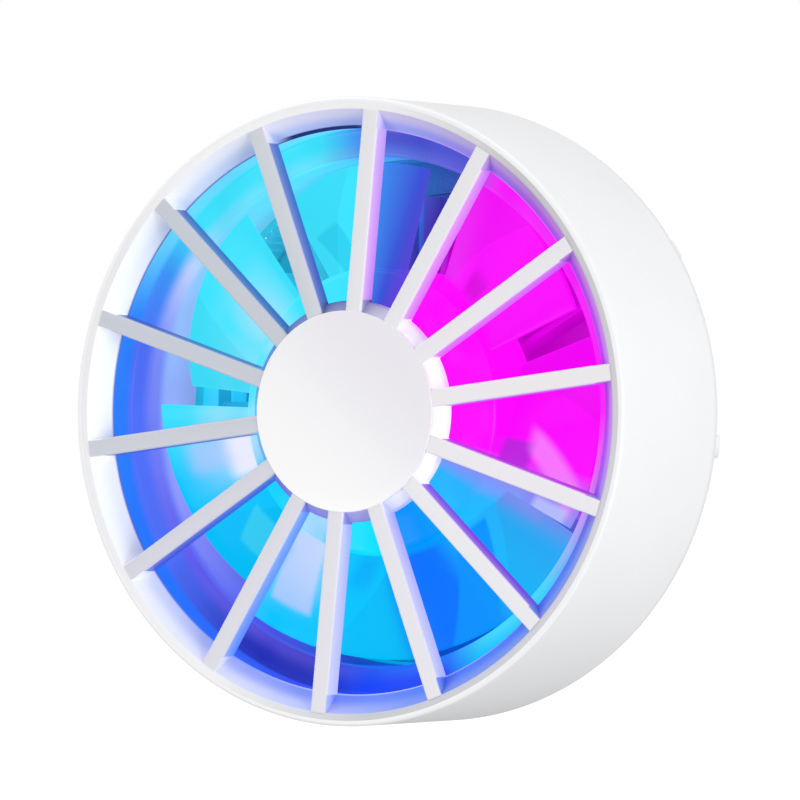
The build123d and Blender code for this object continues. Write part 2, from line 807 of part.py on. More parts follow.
def smoothing_capacitor():
    """Round can capacitor on the control board."""
    can = disc(capacitor_radius, board_front_z, board_front_z + capacitor_height)
    rim = can.edges().filter_by(GeomType.CIRCLE).sort_by(Axis.Z)[-1]
    return board_place(tall_part_place) * fillet(rim, play)


def socket_inside():
    """Outline of the space inside the power socket."""
    width = socket_width - 2 * socket_wall
    height = socket_height - 2 * socket_wall
    return RectangleRounded(width, height, socket_round - socket_wall)


def usb_socket_shell():
    """Steel shell of the power socket, open outwards."""
    outline = RectangleRounded(socket_width, socket_height, socket_round) - socket_inside()
    level = board_front_z + socket_height / 2
    return turned(socket_angle, radial_prism(outline, socket_inner_radius, level, socket_length))


def usb_socket_tongue():
    """Moulded back and tongue of the power socket."""
    level = board_front_z + socket_height / 2
    body = radial_prism(socket_inside(), socket_inner_radius, level, socket_back)
    tongue = Rectangle(tongue_width, tongue_thickness)
    body += radial_prism(tongue, socket_inner_radius, level, socket_length - tongue_setback)
    return turned(socket_angle, body)


def thermistor():
    """Bead that feels the cold plate's temperature, in the gasket's notch."""
    place = Pos((peltier_side / 2 + cold_plate_radius) / 2, 0, cold_plate_front_z + thermistor_radius)
    return turned(socket_angle, place * Sphere(thermistor_radius))


def pair(points, radius, spacing):
    """Two like wires side by side, turned to the socket side."""
    wires = [Pos(0, side * spacing, 0) * wire(points, radius) for side in (-1, 1)]
    return group([turned(socket_angle, each) for each in wires])


def fan_leads():
    """Two leads from the motor board down to the control board."""
    start = motor_board_radius - lead_inset
    level = fan_base_z - lead_radius - play
    end = (board_inner_radius + socket_inner_radius) / 2
    return pair([(start, 0, fan_base_front_z), (start, 0, level), (end, 0, level), (end, 0, board_front_z)],
                lead_radius, lead_spacing)


def peltier_leads():
    """Two leads from the Peltier module out to the control board."""
    level = heat_sink_z - power_lead_radius - play
    end = board_inner_radius + 2 * power_lead_radius
    return pair([(peltier_side / 2, 0, level), (end, 0, level), (end, 0, board_z)],
                power_lead_radius, power_lead_spacing)


def led_leads():
    """Three straight leads from the LED board to the control board."""
    radius = duct_outer_radius + fan_rim_margin + 2 * lead_radius
    strand = Pos(radius, 0, 0) * disc(lead_radius, board_front_z, led_board_z)
    places = [led_lead_place + index * led_lead_pitch for index in range(led_lead_count)]
    return group([turned(board_turn(place), strand) for place in places])


def fan_screws():
    """Three screws that hold the fan base to the shell's posts."""
    length = fan_base_depth + (fan_base_z - heat_sink_front_z) / 2 - play
    fixing = Pos(0, 0, fan_base_front_z + screw_head_depth) * (Rot(full_turn / 2, 0, 0) * screw(0, length))
    return group(round_copies(post_count, post_angle, Pos(post_place_radius, 0, 0) * fixing))


def heat_sink_screws():
    """Three screws that hold the heat sink's ears to the shell's posts, from behind."""
    length = heat_sink_base_depth + (fan_base_z - heat_sink_front_z) / 2 - play
    fixing = screw(heat_sink_z - screw_head_depth, length)
    return group(round_copies(post_count, post_angle, Pos(post_place_radius, 0, 0) * fixing))


def rear_screws():
    """Three screws that hold the rear cover to the heat sink."""
    fixing = screw(rear_cover_z, heat_sink_front_z - rear_cover_z - screw_head_depth - play)
    return group(round_copies(post_count, rear_screw_angle, Pos(rear_screw_place_radius, 0, 0) * fixing))


PIECES = {
    "drum_shell": drum_shell,
    "front_grille": front_grille,
    "hub_cap": hub_cap,
    "light_guide": light_guide,
    "led_board": led_board,
    "led_chips": led_chips,
    "fan_base": fan_base,
    "bearing_tube": bearing_tube,
    "thrust_pad": thrust_pad,
    "sleeve_bearing": sleeve_bearing,
    "fan_shaft": fan_shaft,
    "shaft_clip": shaft_clip,
    "motor_board": motor_board,
    "motor_chips": motor_chips,
    "stator_core": stator_core,
    "stator_insulator_front": stator_insulator_front,
    "stator_insulator_rear": stator_insulator_rear,
    "rotor_cup": rotor_cup,
    "rotor_magnet": rotor_magnet,
    "impeller": impeller,
    "heat_sink": heat_sink,
    "thermal_pad": thermal_pad,
    "peltier_hot_plate": peltier_hot_plate,
    "peltier_cold_plate": peltier_cold_plate,
    "peltier_pellets": peltier_pellets,
    "foam_gasket": foam_gasket,
    "cold_plate": cold_plate,
    "thermal_film": thermal_film,
    "rear_cover": rear_cover,
    "ring_magnets": ring_magnets,
    "magnet_shunt": magnet_shunt,
    "contact_pad": contact_pad,
    "control_board": control_board,
    "control_chips": control_chips,
    "power_inductor": power_inductor,
    "smoothing_capacitor": smoothing_capacitor,
    "usb_socket_shell": usb_socket_shell,
    "usb_socket_tongue": usb_socket_tongue,
    "thermistor": thermistor,
    "fan_leads": fan_leads,
    "peltier_leads": peltier_leads,
    "led_leads": led_leads,
    "fan_screws": fan_screws,
    "heat_sink_screws": heat_sink_screws,
    "rear_screws": rear_screws,
}


def write_piece(name, shape):
    """Turn a piece so that the inlet faces -Y and write it as one STEP file."""
    export_step(Rot(quarter_turn, 0, 0) * shape, f"parts/{name}.step")


os.makedirs("parts", exist_ok=True)
for name, build in PIECES.items():
    write_piece(name, build())
for index in range(coil_count):
    write_piece(f"stator_coil_{index + 1}", stator_coil(index))
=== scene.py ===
"""Looks of the phone cooling fan: finishes, finer pieces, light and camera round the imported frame."""
import json
import logging
import math
from dataclasses import dataclass, field
from enum import Enum
from typing import Dict, List, Mapping, Optional, Sequence, Tuple, Union

import bmesh
import bpy
from mathutils import Matrix, Vector


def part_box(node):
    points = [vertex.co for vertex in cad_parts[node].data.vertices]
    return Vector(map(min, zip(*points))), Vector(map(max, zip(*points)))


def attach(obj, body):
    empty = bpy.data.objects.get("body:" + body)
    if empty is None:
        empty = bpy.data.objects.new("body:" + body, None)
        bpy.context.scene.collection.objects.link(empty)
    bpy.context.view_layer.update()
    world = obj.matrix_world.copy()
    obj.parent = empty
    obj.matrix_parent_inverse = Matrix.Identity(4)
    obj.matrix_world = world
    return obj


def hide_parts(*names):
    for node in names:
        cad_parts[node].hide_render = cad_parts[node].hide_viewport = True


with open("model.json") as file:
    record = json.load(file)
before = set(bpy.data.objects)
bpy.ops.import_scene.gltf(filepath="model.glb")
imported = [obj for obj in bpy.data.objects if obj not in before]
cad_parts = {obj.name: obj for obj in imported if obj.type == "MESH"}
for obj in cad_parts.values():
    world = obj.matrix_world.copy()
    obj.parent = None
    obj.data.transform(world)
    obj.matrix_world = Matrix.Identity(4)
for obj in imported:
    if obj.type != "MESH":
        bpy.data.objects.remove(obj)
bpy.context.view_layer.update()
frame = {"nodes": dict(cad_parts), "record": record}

MM = 0.001
LOG = logging.getLogger("cooling_fan")
Colour = Tuple[float, float, float]
Point = Tuple[float, float]
Stop = Tuple[float, Colour]
Wheel = Tuple[Stop, ...]
FULL_TURN = 360.0


def srgb(red: int, green: int, blue: int) -> Colour:
    """Linear colour of a screen colour given in steps of 255.

    Args:
        red: Red, from 0 to 255.
        green: Green, from 0 to 255.
        blue: Blue, from 0 to 255.

    Returns:
        The linear colour, from 0 to 1.
    """
    def channel(level: int) -> float:
        """Linear value of one screen channel."""
        share = level / 255
        return share / 12.92 if share <= 0.04045 else ((share + 0.055) / 1.055) ** 2.4
    return channel(red), channel(green), channel(blue)


def shade(colour: Colour, factor: float) -> Colour:
    """The colour made darker or lighter by a factor."""
    return tuple(min(1.0, channel * factor) for channel in colour)


class Body(Enum):
    """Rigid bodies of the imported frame."""

    HOUSING = "housing"
    ROTOR = "rotor"


class Lamp(Enum):
    """Colours of the light inside the fan, as linear values."""

    MAGENTA = srgb(250, 8, 252)
    VIOLET = srgb(150, 90, 236)
    INDIGO = srgb(70, 80, 205)
    NAVY = srgb(38, 50, 185)
    BLUE = srgb(20, 70, 245)
    ROYAL = srgb(4, 115, 252)
    AZURE = srgb(60, 145, 242)
    SKY = srgb(0, 196, 255)
    CYAN = srgb(60, 226, 252)
    PERIWINKLE = srgb(80, 112, 246)


# Painted light and shade round the fan on each kind of surface: angle in degrees, counter-clockwise from +X,
# and colour.
BLADE_LIGHT: Wheel = (
    (0, Lamp.MAGENTA.value), (57, Lamp.MAGENTA.value), (61, srgb(104, 60, 212)), (70, srgb(58, 78, 212)),
    (82, Lamp.AZURE.value), (86, Lamp.CYAN.value), (180, Lamp.CYAN.value), (200, Lamp.SKY.value),
    (286, Lamp.SKY.value), (292, Lamp.ROYAL.value), (307, Lamp.ROYAL.value), (318, srgb(20, 186, 253)),
    (332, srgb(40, 176, 250)), (341, srgb(150, 120, 244)), (347, Lamp.MAGENTA.value),
    (360, Lamp.MAGENTA.value),
)

DEEP_LIGHT: Wheel = (
    (0, srgb(226, 0, 228)), (56, srgb(206, 0, 212)), (60, srgb(70, 48, 184)), (82, srgb(44, 150, 246)),
    (88, srgb(60, 216, 252)), (160, srgb(54, 214, 250)), (205, srgb(6, 174, 246)),
    (287, srgb(0, 180, 252)), (293, srgb(10, 96, 240)), (304, srgb(10, 96, 240)),
    (316, srgb(20, 170, 246)), (334, srgb(70, 130, 236)), (343, srgb(190, 20, 210)),
    (360, srgb(226, 0, 228)),
)

SHELF_LIGHT: Wheel = (
    (0, Lamp.MAGENTA.value), (58, Lamp.MAGENTA.value), (66, Lamp.INDIGO.value), (88, Lamp.INDIGO.value),
    (94, Lamp.AZURE.value), (103, Lamp.CYAN.value), (136, Lamp.CYAN.value), (150, Lamp.AZURE.value),
    (166, Lamp.PERIWINKLE.value), (212, Lamp.PERIWINKLE.value), (238, Lamp.NAVY.value),
    (258, Lamp.NAVY.value), (268, Lamp.BLUE.value), (288, Lamp.BLUE.value), (297, Lamp.SKY.value),
    (318, Lamp.SKY.value), (332, Lamp.AZURE.value), (342, Lamp.VIOLET.value), (360, Lamp.MAGENTA.value),
)

SHELF_INNER_LIGHT: Wheel = (
    (0, srgb(250, 20, 250)), (58, srgb(240, 30, 246)), (66, srgb(96, 84, 214)), (92, srgb(84, 130, 226)),
    (104, srgb(96, 226, 252)), (134, srgb(110, 222, 252)), (146, srgb(190, 206, 250)),
    (164, srgb(124, 144, 248)), (212, srgb(98, 96, 240)), (256, srgb(70, 62, 200)),
    (272, srgb(28, 92, 244)), (290, srgb(20, 120, 250)), (299, srgb(60, 214, 250)),
    (318, srgb(70, 214, 252)), (344, srgb(226, 120, 246)), (360, srgb(250, 20, 250)),
)

DUCT_LIGHT: Wheel = (
    (0, srgb(220, 10, 226)), (58, srgb(170, 20, 212)), (70, srgb(74, 54, 196)), (84, srgb(60, 116, 224)),
    (100, srgb(78, 204, 248)), (125, srgb(98, 220, 252)), (155, srgb(152, 190, 250)),
    (200, srgb(146, 150, 248)), (235, srgb(80, 72, 228)), (262, srgb(20, 36, 168)),
    (278, srgb(18, 84, 226)), (300, srgb(40, 170, 248)), (328, srgb(110, 150, 244)),
    (345, srgb(206, 60, 234)), (360, srgb(220, 10, 226)),
)

COLLAR_LIGHT: Wheel = (
    (0, srgb(196, 60, 236)), (56, srgb(176, 110, 226)), (76, srgb(90, 110, 196)),
    (100, srgb(110, 208, 246)), (140, srgb(104, 214, 250)), (160, srgb(46, 130, 250)),
    (222, srgb(36, 112, 250)), (255, srgb(58, 82, 236)), (280, srgb(100, 144, 245)),
    (316, srgb(67, 130, 233)), (342, srgb(110, 60, 214)), (360, srgb(196, 60, 236)),
)

WALL_LIGHT: Wheel = (
    (0, srgb(186, 84, 226)), (45, srgb(200, 130, 228)), (84, srgb(190, 165, 226)),
    (100, srgb(72, 100, 176)), (160, srgb(58, 76, 160)), (213, srgb(68, 78, 190)),
    (238, srgb(84, 140, 240)), (262, srgb(196, 198, 246)), (291, srgb(196, 192, 246)),
    (316, srgb(106, 64, 202)), (341, srgb(146, 34, 186)), (360, srgb(186, 84, 226)),
)

CONE_LIGHT: Wheel = (
    (0, srgb(176, 76, 226)), (45, srgb(166, 98, 220)), (75, srgb(156, 168, 236)),
    (110, srgb(184, 204, 238)), (160, srgb(250, 251, 255)), (205, srgb(238, 239, 253)),
    (255, srgb(146, 162, 246)), (285, srgb(86, 130, 246)), (330, srgb(90, 124, 232)),
    (360, srgb(176, 76, 226)),
)

CONE_FRONT_LIGHT: Wheel = (
    (0, srgb(194, 150, 230)), (45, srgb(178, 142, 208)), (75, srgb(202, 198, 230)),
    (115, srgb(228, 229, 240)), (150, srgb(248, 249, 253)), (205, srgb(247, 248, 253)),
    (245, srgb(216, 218, 248)), (285, srgb(116, 144, 230)), (330, srgb(130, 150, 220)),
    (360, srgb(194, 150, 230)),
)

# Greys of painted shade on the grille's white front faces and on its ring.
FACE_LIGHT: Wheel = (
    (0, srgb(243, 240, 244)), (84, srgb(236, 236, 240)), (120, srgb(202, 208, 218)),
    (180, srgb(206, 209, 220)), (264, srgb(232, 230, 238)), (316, srgb(241, 240, 245)),
    (360, srgb(243, 240, 244)),
)

RING_LIGHT: Wheel = (
    (0, srgb(214, 212, 218)), (50, srgb(202, 201, 204)), (80, srgb(246, 246, 248)),
    (122, srgb(252, 252, 253)), (150, srgb(240, 240, 242)), (240, srgb(247, 247, 249)),
    (275, srgb(206, 207, 212)), (330, srgb(217, 215, 225)), (360, srgb(214, 212, 218)),
)

BOSS_LIGHT: Wheel = (
    (0, srgb(252, 248, 254)), (55, srgb(240, 236, 248)), (84, srgb(70, 84, 150)),
    (120, srgb(62, 84, 156)), (150, srgb(60, 124, 196)), (190, srgb(86, 198, 238)),
    (222, srgb(84, 96, 208)), (285, srgb(140, 140, 204)), (305, srgb(226, 228, 246)),
    (330, srgb(252, 252, 254)), (360, srgb(252, 248, 254)),
)


Number = Union[float, "Signal"]


class Signal:
    """A number that changes over a surface, held as the socket that gives it."""

    def __init__(self, board: "NodeBoard", socket: bpy.types.NodeSocket) -> None:
        """Keeps the socket and the node board that it is on.

        Args:
            board: The board that new nodes go on.
            socket: The output socket that carries the number.
        """
        self.board = board
        self.socket = socket

    def math(self, operation: str, *others: Number, flipped: bool = False) -> "Signal":
        """Adds one Math node.

        Args:
            operation: Name of the Math node's operation.
            others: The other numbers that it takes.
            flipped: Whether the first of the others comes before this number.

        Returns:
            The result as a new signal.
        """
        values: List[Number] = [self, *others]
        if flipped:
            values = [others[0], self]
        node = self.board.add("ShaderNodeMath", {"operation": operation}, dict(enumerate(values)))
        return Signal(self.board, node.outputs[0])

    def __add__(self, other: Number) -> "Signal":
        """Sum."""
        return self.math("ADD", other)

    __radd__ = __add__

    def __sub__(self, other: Number) -> "Signal":
        """Difference."""
        return self.math("SUBTRACT", other)

    def __rsub__(self, other: float) -> "Signal":
        """Difference from a plain number."""
        return self.math("SUBTRACT", other, flipped=True)

    def __mul__(self, other: Number) -> "Signal":
        """Product."""
        return self.math("MULTIPLY", other)

    __rmul__ = __mul__

    def __truediv__(self, other: Number) -> "Signal":
        """Quotient."""
        return self.math("DIVIDE", other)

    def __rtruediv__(self, other: float) -> "Signal":
        """Quotient of a plain number."""
        return self.math("DIVIDE", other, flipped=True)

    def ramp(self, low: float, high: float) -> "Signal":
        """Smooth step from 0 at low to 1 at high.

        Args:
            low: Value up to which the step is 0.
            high: Value from which the step is 1.

        Returns:
            The step.
        """
        node = self.board.add("ShaderNodeMapRange", {"interpolation_type": "SMOOTHSTEP"},
                              {"Value": self, "From Min": low, "From Max": high})
        return Signal(self.board, node.outputs["Result"])

    def step(self, place: float, soft: float) -> "Signal":
        """0 below a place and 1 above it, with a soft edge."""
        return self.ramp(place - soft, place + soft)

    def band(self, low: float, high: float, soft: float) -> "Signal":
        """1 between low and high and 0 outside, with soft edges."""
        return self.step(low, soft) * (1.0 - self.step(high, soft))

    def between(self, low: float, high: float) -> "Signal":
        """This number, where 0 becomes low and 1 becomes high."""
        return self * (high - low) + low

    def stops(self, stops: Sequence[Stop]) -> bpy.types.NodeSocket:
        """Colour of this number along a row of colour stops.

        Args:
            stops: Position from 0 to 1 and linear colour of each stop.

        Returns:
            The colour socket.
        """
        return self.board.add("ShaderNodeValToRGB", {"stops": stops}, {"Fac": self}).outputs["Color"]

    def round_the_fan(self, light: Wheel) -> bpy.types.NodeSocket:
        """Colour of this share of a turn in the light round the fan."""
        return self.stops([(angle / FULL_TURN, colour) for angle, colour in light])


Feed = Union[float, Sequence[float], Signal, bpy.types.NodeSocket]


class NodeBoard:
    """A node tree, of a material or of Geometry Nodes."""

    def __init__(self, tree: bpy.types.NodeTree) -> None:
        """Keeps the tree, emptied.

        Args:
            tree: The node tree to work on.
        """
        self.tree = tree
        self.tree.nodes.clear()

    def add(self, kind: str, settings: Optional[Mapping[str, object]] = None,
            inputs: Optional[Mapping[Union[str, int], Feed]] = None) -> bpy.types.Node:
        """Adds one node.

        Args:
            kind: Type of the node.
            settings: Its own settings, set first; stops fills a colour ramp.
            inputs: Values or links of its sockets, by name or number.

        Returns:
            The node.
        """
        node = self.tree.nodes.new(kind)
        for name, value in (settings or {}).items():
            if name == "stops":
                self.fill_ramp(node.color_ramp, value)
            else:
                setattr(node, name, value)
        for name, value in (inputs or {}).items():
            self.feed(node.inputs[name], value)
        return node

    def feed(self, socket: bpy.types.NodeSocket, value: Feed) -> None:
        """Links a socket or sets its value.

        Args:
            socket: Input socket of a node.
            value: Signal, socket, number or colour.
        """
        if isinstance(value, Signal):
            value = value.socket
        if isinstance(value, bpy.types.NodeSocket):
            self.tree.links.new(value, socket)
        elif isinstance(value, (int, float)):
            socket.default_value = value
        else:
            socket.default_value = (*value, 1.0) if socket.type == "RGBA" and len(value) == 3 else value

    @staticmethod
    def fill_ramp(ramp: bpy.types.ColorRamp, stops: Sequence[Stop]) -> None:
        """Writes the stops of a colour ramp.

        Args:
            ramp: Colour ramp of a node.
            stops: Positions from 0 to 1, with colours.
        """
        while len(ramp.elements) < len(stops):
            ramp.elements.new(1.0)
        for element, (position, colour) in zip(ramp.elements, stops):
            element.position = position
            element.color = (*colour, 1.0)


class SurfaceBoard(NodeBoard):
    """Node tree of one material.

    Light falls in slantwise through the grille's front, whose depth is in millimetres. The slant is how far
    to the right it passes the front, for each millimetre that it falls behind it.
    """

    GRILLE_FRONT = 27.2
    SLANT = 0.56

    def __init__(self, name: str) -> None:
        """Makes the material with its surface shader.

        Args:
            name: Name of the material.
        """
        self.material = bpy.data.materials.new(name)
        self.material.use_nodes = True
        super().__init__(self.material.node_tree)
        output = self.add("ShaderNodeOutputMaterial")
        self.place = self.add("ShaderNodeTexCoord").outputs["Object"]
        self.shader = self.add("ShaderNodeBsdfPrincipled")
        self.tree.links.new(self.shader.outputs["BSDF"], output.inputs["Surface"])

    def surface(self, **values: Feed) -> None:
        """Sets sockets of the surface shader, with underscores for the spaces in their names."""
        for name, value in values.items():
            self.feed(self.shader.inputs[name.replace("_", " ").title().replace("Ior", "IOR")], value)

    def axis_values(self) -> Tuple[Signal, Signal, Signal]:
        """The object coordinates x, y and z in metres."""
        split = self.add("ShaderNodeSeparateXYZ", None, {0: self.place})
        return tuple(Signal(self, socket) for socket in split.outputs)

    def round_values(self) -> Tuple[Signal, Signal, Signal]:
        """Place round the fan's axis.

        Returns:
            Radius in millimetres, angle as a share of a turn, and depth, the distance in millimetres forward
            from the contact face.
        """
        x, y, z = self.axis_values()
        radius = (x * x + z * z).math("SQRT") / MM
        turn = (z.math("ARCTAN2", x) / math.tau).math("FRACT")
        return radius, turn, y / -MM

    def slanted_turn(self) -> Signal:
        """Angle, as a share of a turn, at which slanting light passed the grille on its way to a place."""
        x, y, z = self.axis_values()
        return (z.math("ARCTAN2", x + (y + self.GRILLE_FRONT * MM) * self.SLANT) / math.tau).math("FRACT")

    def noise(self, size: float, detail: float = 2.0, stretch: Sequence[float] = (1, 1, 1)) -> Signal:
        """Smooth random pattern.

        Args:
            size: Size of its features in millimetres.
            detail: Levels of finer detail.
            stretch: Scale along each axis, for brushed or drawn surfaces.

        Returns:
            The pattern from 0 to 1.
        """
        mapped = self.add("ShaderNodeMapping", None, {"Vector": self.place, "Scale": stretch})
        inputs = {"Vector": mapped.outputs[0], "Scale": 1 / (size * MM), "Detail": detail}
        return Signal(self, self.add("ShaderNodeTexNoise", None, inputs).outputs["Fac"])

    def cells(self, size: float) -> Signal:
        """Cell pattern of a given size in millimetres."""
        inputs = {"Vector": self.place, "Scale": 1 / (size * MM)}
        return Signal(self, self.add("ShaderNodeTexVoronoi", None, inputs).outputs["Distance"])

    def blend(self, factor: Number, first: Feed, second: Feed) -> bpy.types.NodeSocket:
        """Mixes two colours.

        Args:
            factor: Share of the second colour.
            first: First colour.
            second: Second colour.

        Returns:
            The mixed colour's socket.
        """
        node = self.add("ShaderNodeMix", {"data_type": "RGBA"}, {0: factor, 6: first, 7: second})
        return node.outputs[2]

    def toned(self, pattern: Signal, colour: Colour, low: float, high: float) -> bpy.types.NodeSocket:
        """Mixes two tones of a colour by a pattern, each a factor of the colour's brightness."""
        return self.blend(pattern, shade(colour, low), shade(colour, high))

    def dimmed(self, colour: Feed, level: Number) -> bpy.types.NodeSocket:
        """A colour made darker by a level, which may change over the surface."""
        return self.blend(level, (0.0, 0.0, 0.0), colour)

    def relief(self, height: Signal, depth: float) -> None:
        """Bumps the surface by a height from 0 to 1, of a depth in millimetres."""
        bump = self.add("ShaderNodeBump", None, {"Height": height, "Distance": depth * MM})
        self.feed(self.shader.inputs["Normal"], bump.outputs["Normal"])


def depth_of(node: str, front: bool = True) -> float:
    """Depth in millimetres of a node's front or rear face."""
    low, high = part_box(node)
    return -(low.y if front else high.y) / MM


@dataclass(frozen=True)
class Spill:
    """The lamps' light painted on what lies inside the drum, with lengths in millimetres."""

    level: float
    reach: float = 26.5
    reach_soft: float = 0.5
    rear: float = 2.7
    rear_soft: float = 0.3
    painted_light_share: float = 0.85
    painted_light_level: float = 0.4
    patch: float = 5.0
    patch_low: float = 0.6
    dim_depth: float = 3.0
    bright_depth: float = 13.0
    dim_level: float = 0.45

    def light(self, board: SurfaceBoard) -> None:
        """Paints the lamps' light on a surface that has its own colour already, in its colour and as a glow,
        dimmer deeper in.

        Args:
            board: Node tree of the material.
        """
        radius, _, depth = board.round_values()
        beyond = radius.ramp(self.reach, self.reach + self.reach_soft)
        inside = depth.ramp(self.rear, self.rear + self.rear_soft) * (1.0 - beyond)
        patches = board.noise(self.patch, 1.0).between(self.patch_low, 1.0)
        # Painted shade: the glow is dimmer deeper in.
        patches = patches * depth.ramp(self.dim_depth, self.bright_depth).between(self.dim_level, 1.0)
        hue = board.slanted_turn().round_the_fan(DEEP_LIGHT)
        own = board.shader.inputs["Base Color"].links[0].from_socket
        board.surface(base_color=board.blend(inside * self.painted_light_share, own, board.dimmed(hue, self.painted_light_level)),
                      emission_color=board.dimmed(hue, inside * patches), emission_strength=self.level)


@dataclass(frozen=True)
class Finish:
    """A finish of the object, which builds its own material. Lengths are in millimetres."""

    name: str
    spill: Optional[Spill] = field(default=None, kw_only=True)

    def dress(self, board: SurfaceBoard) -> None:
        """Sets the surface; each kind of finish has its own way."""
        raise NotImplementedError

    def material(self) -> bpy.types.Material:
        """Builds the material, with the lamps' light on it where the finish has any.

        Returns:
            The material.
        """
        board = SurfaceBoard(self.name)
        self.dress(board)
        if self.spill:
            self.spill.light(board)
        return board.material


@dataclass(frozen=True)
class MouldedPlastic(Finish):
    """Injection-moulded plastic with a fine spark-eroded grain."""

    colour: Colour
    roughness: float = 0.42
    cloud: float = 9.0
    grain: float = 0.12
    grain_depth: float = 0.004
    tones: Point = (0.975, 1.01)

    def dress(self, board: SurfaceBoard) -> None:
        """Sets a clouded, finely grained surface.

        Args:
            board: Node tree of the material.
        """
        cloud = board.noise(self.cloud, 3.0)
        grain = board.noise(self.grain, 3.0)
        board.surface(base_color=board.toned(cloud, self.colour, *self.tones),
                      roughness=cloud * 0.08 + grain * 0.06 + (self.roughness - 0.07))
        board.relief(grain, self.grain_depth)


@dataclass(frozen=True)
class Metal(Finish):
    """Bare or plated metal with drawn or turned marks."""

    colour: Colour
    roughness: float = 0.28
    marks: Tuple[float, float, float] = (1.0, 1.0, 1.0)
    mark_size: float = 0.25
    mark_depth: float = 0.004
    tarnish: float = 3.0
    tones: Point = (0.88, 1.0)

    def dress(self, board: SurfaceBoard) -> None:
        """Sets a marked surface with a trace of tarnish.

        Args:
            board: Node tree of the material.
        """
        marks = board.noise(self.mark_size, 4.0, self.marks)
        tarnish = board.noise(self.tarnish, 4.0)
        board.surface(base_color=board.toned(tarnish, self.colour, *self.tones),
                      metallic=1.0, roughness=marks * 0.16 + tarnish * 0.1 + (self.roughness - 0.12))
        board.relief(marks, self.mark_depth)


@dataclass(frozen=True)
class TurnedMetal(Finish):
    """Metal turned on a lathe, with fine rings about the fan's axis."""

    colour: Colour
    roughness: float = 0.26
    ring_pitch: float = 0.12
    ring_depth: float = 0.003
    smear: float = 1.2
    tones: Point = (0.9, 1.0)

    def dress(self, board: SurfaceBoard) -> None:
        """Sets a ringed, slightly smeared surface.

        Args:
            board: Node tree of the material.
        """
        radius, _, depth = board.round_values()
        rings = ((radius + depth) * (math.tau / self.ring_pitch)).math("SINE").between(0.5, 1.0)
        smear = board.noise(self.smear, 3.0)
        board.surface(base_color=board.toned(smear, self.colour, *self.tones), metallic=1.0,
                      roughness=rings * 0.08 + smear * 0.1 + (self.roughness - 0.08))
        board.relief(rings * smear, self.ring_depth)


@dataclass(frozen=True)
class SoftRubber(Finish):
    """Silicone, film or lead sheath: matte, with a dusty bloom."""

    colour: Colour
    roughness: float = 0.72
    bloom: float = 5.0
    grain: float = 0.2
    grain_depth: float = 0.012
    tones: Point = (0.93, 1.05)

    def dress(self, board: SurfaceBoard) -> None:
        """Sets a matte surface with bloom and grain.

        Args:
            board: Node tree of the material.
        """
        bloom = board.noise(self.bloom, 4.0)
        grain = board.noise(self.grain, 2.0)
        board.surface(base_color=board.toned(bloom, self.colour, *self.tones),
                      roughness=bloom * 0.14 + (self.roughness - 0.07), sheen_weight=0.15)
        board.relief(grain, self.grain_depth)


@dataclass(frozen=True)
class Foam(Finish):
    """Open-cell foam."""

    colour: Colour
    cell: float = 0.45
    cell_depth: float = 0.12
    tones: Point = (1.5, 0.4)

    def dress(self, board: SurfaceBoard) -> None:
        """Sets a dark, pitted surface.

        Args:
            board: Node tree of the material.
        """
        cells = board.cells(self.cell).ramp(0.1, 0.7)
        # The colour is darker in the pits: painted shade.
        board.surface(base_color=board.toned(cells, self.colour, *self.tones), roughness=0.95)
        board.relief(1.0 - cells, self.cell_depth)


@dataclass(frozen=True)
class CircuitBoard(Finish):
    """Solder mask over copper tracks."""

    mask: Colour
    track_pitch: float = 0.9
    track_wander: float = 3.2
    track_depth: float = 0.03
    field_size: float = 4.0
    fibre: float = 0.35
    tones: Point = (1.0, 1.55)

    def dress(self, board: SurfaceBoard) -> None:
        """Sets a glossy mask with raised tracks under it.

        Args:
            board: Node tree of the material.
        """
        radius, _, _ = board.round_values()
        wander = board.noise(self.track_wander, 1.0) * 1.4
        tracks = ((radius + wander) * (math.tau / self.track_pitch)).math("SINE").band(0.1, 1.2, 0.12)
        copper = tracks * board.cells(self.field_size).ramp(0.35, 0.4)
        fibre = board.noise(self.fibre, 2.0)
        board.surface(base_color=board.toned(copper, self.mask, *self.tones),
                      roughness=fibre * 0.12 + 0.28, coat_weight=0.4, coat_roughness=0.18)
        board.relief(copper, self.track_depth)


@dataclass(frozen=True)
class Resin(Finish):
    """Moulded chip resin, ferrite or ceramic: matte with speckles."""

    colour: Colour
    roughness: float = 0.6
    speckle: float = 0.15
    speckle_depth: float = 0.01
    tones: Point = (0.8, 1.2)

    def dress(self, board: SurfaceBoard) -> None:
        """Sets a speckled surface.

        Args:
            board: Node tree of the material.
        """
        speckle = board.noise(self.speckle, 5.0)
        board.surface(base_color=board.toned(speckle, self.colour, *self.tones),
                      roughness=speckle * 0.2 + (self.roughness - 0.1))
        board.relief(speckle, self.speckle_depth)


@dataclass(frozen=True)
class Winding(Finish):
    """Enamelled copper wire in layers."""

    colour: Colour
    wire: float = 0.22
    wire_depth: float = 0.1
    ageing: float = 1.5
    tones: Point = (0.45, 1.0)

    def dress(self, board: SurfaceBoard) -> None:
        """Sets glossy enamel with a ridge for each turn of wire.

        Args:
            board: Node tree of the material.
        """
        radius, _, _ = board.round_values()
        turns = (radius * (math.tau / self.wire)).math("SINE").between(0.5, 1.0)
        age = board.noise(self.ageing, 2.0)
        # The colour is darker in the grooves between turns: painted shade.
        board.surface(base_color=board.toned(turns * age, self.colour, *self.tones),
                      metallic=0.85, roughness=age * 0.15 + 0.2, coat_weight=0.5, coat_roughness=0.1)
        board.relief(turns, self.wire_depth)


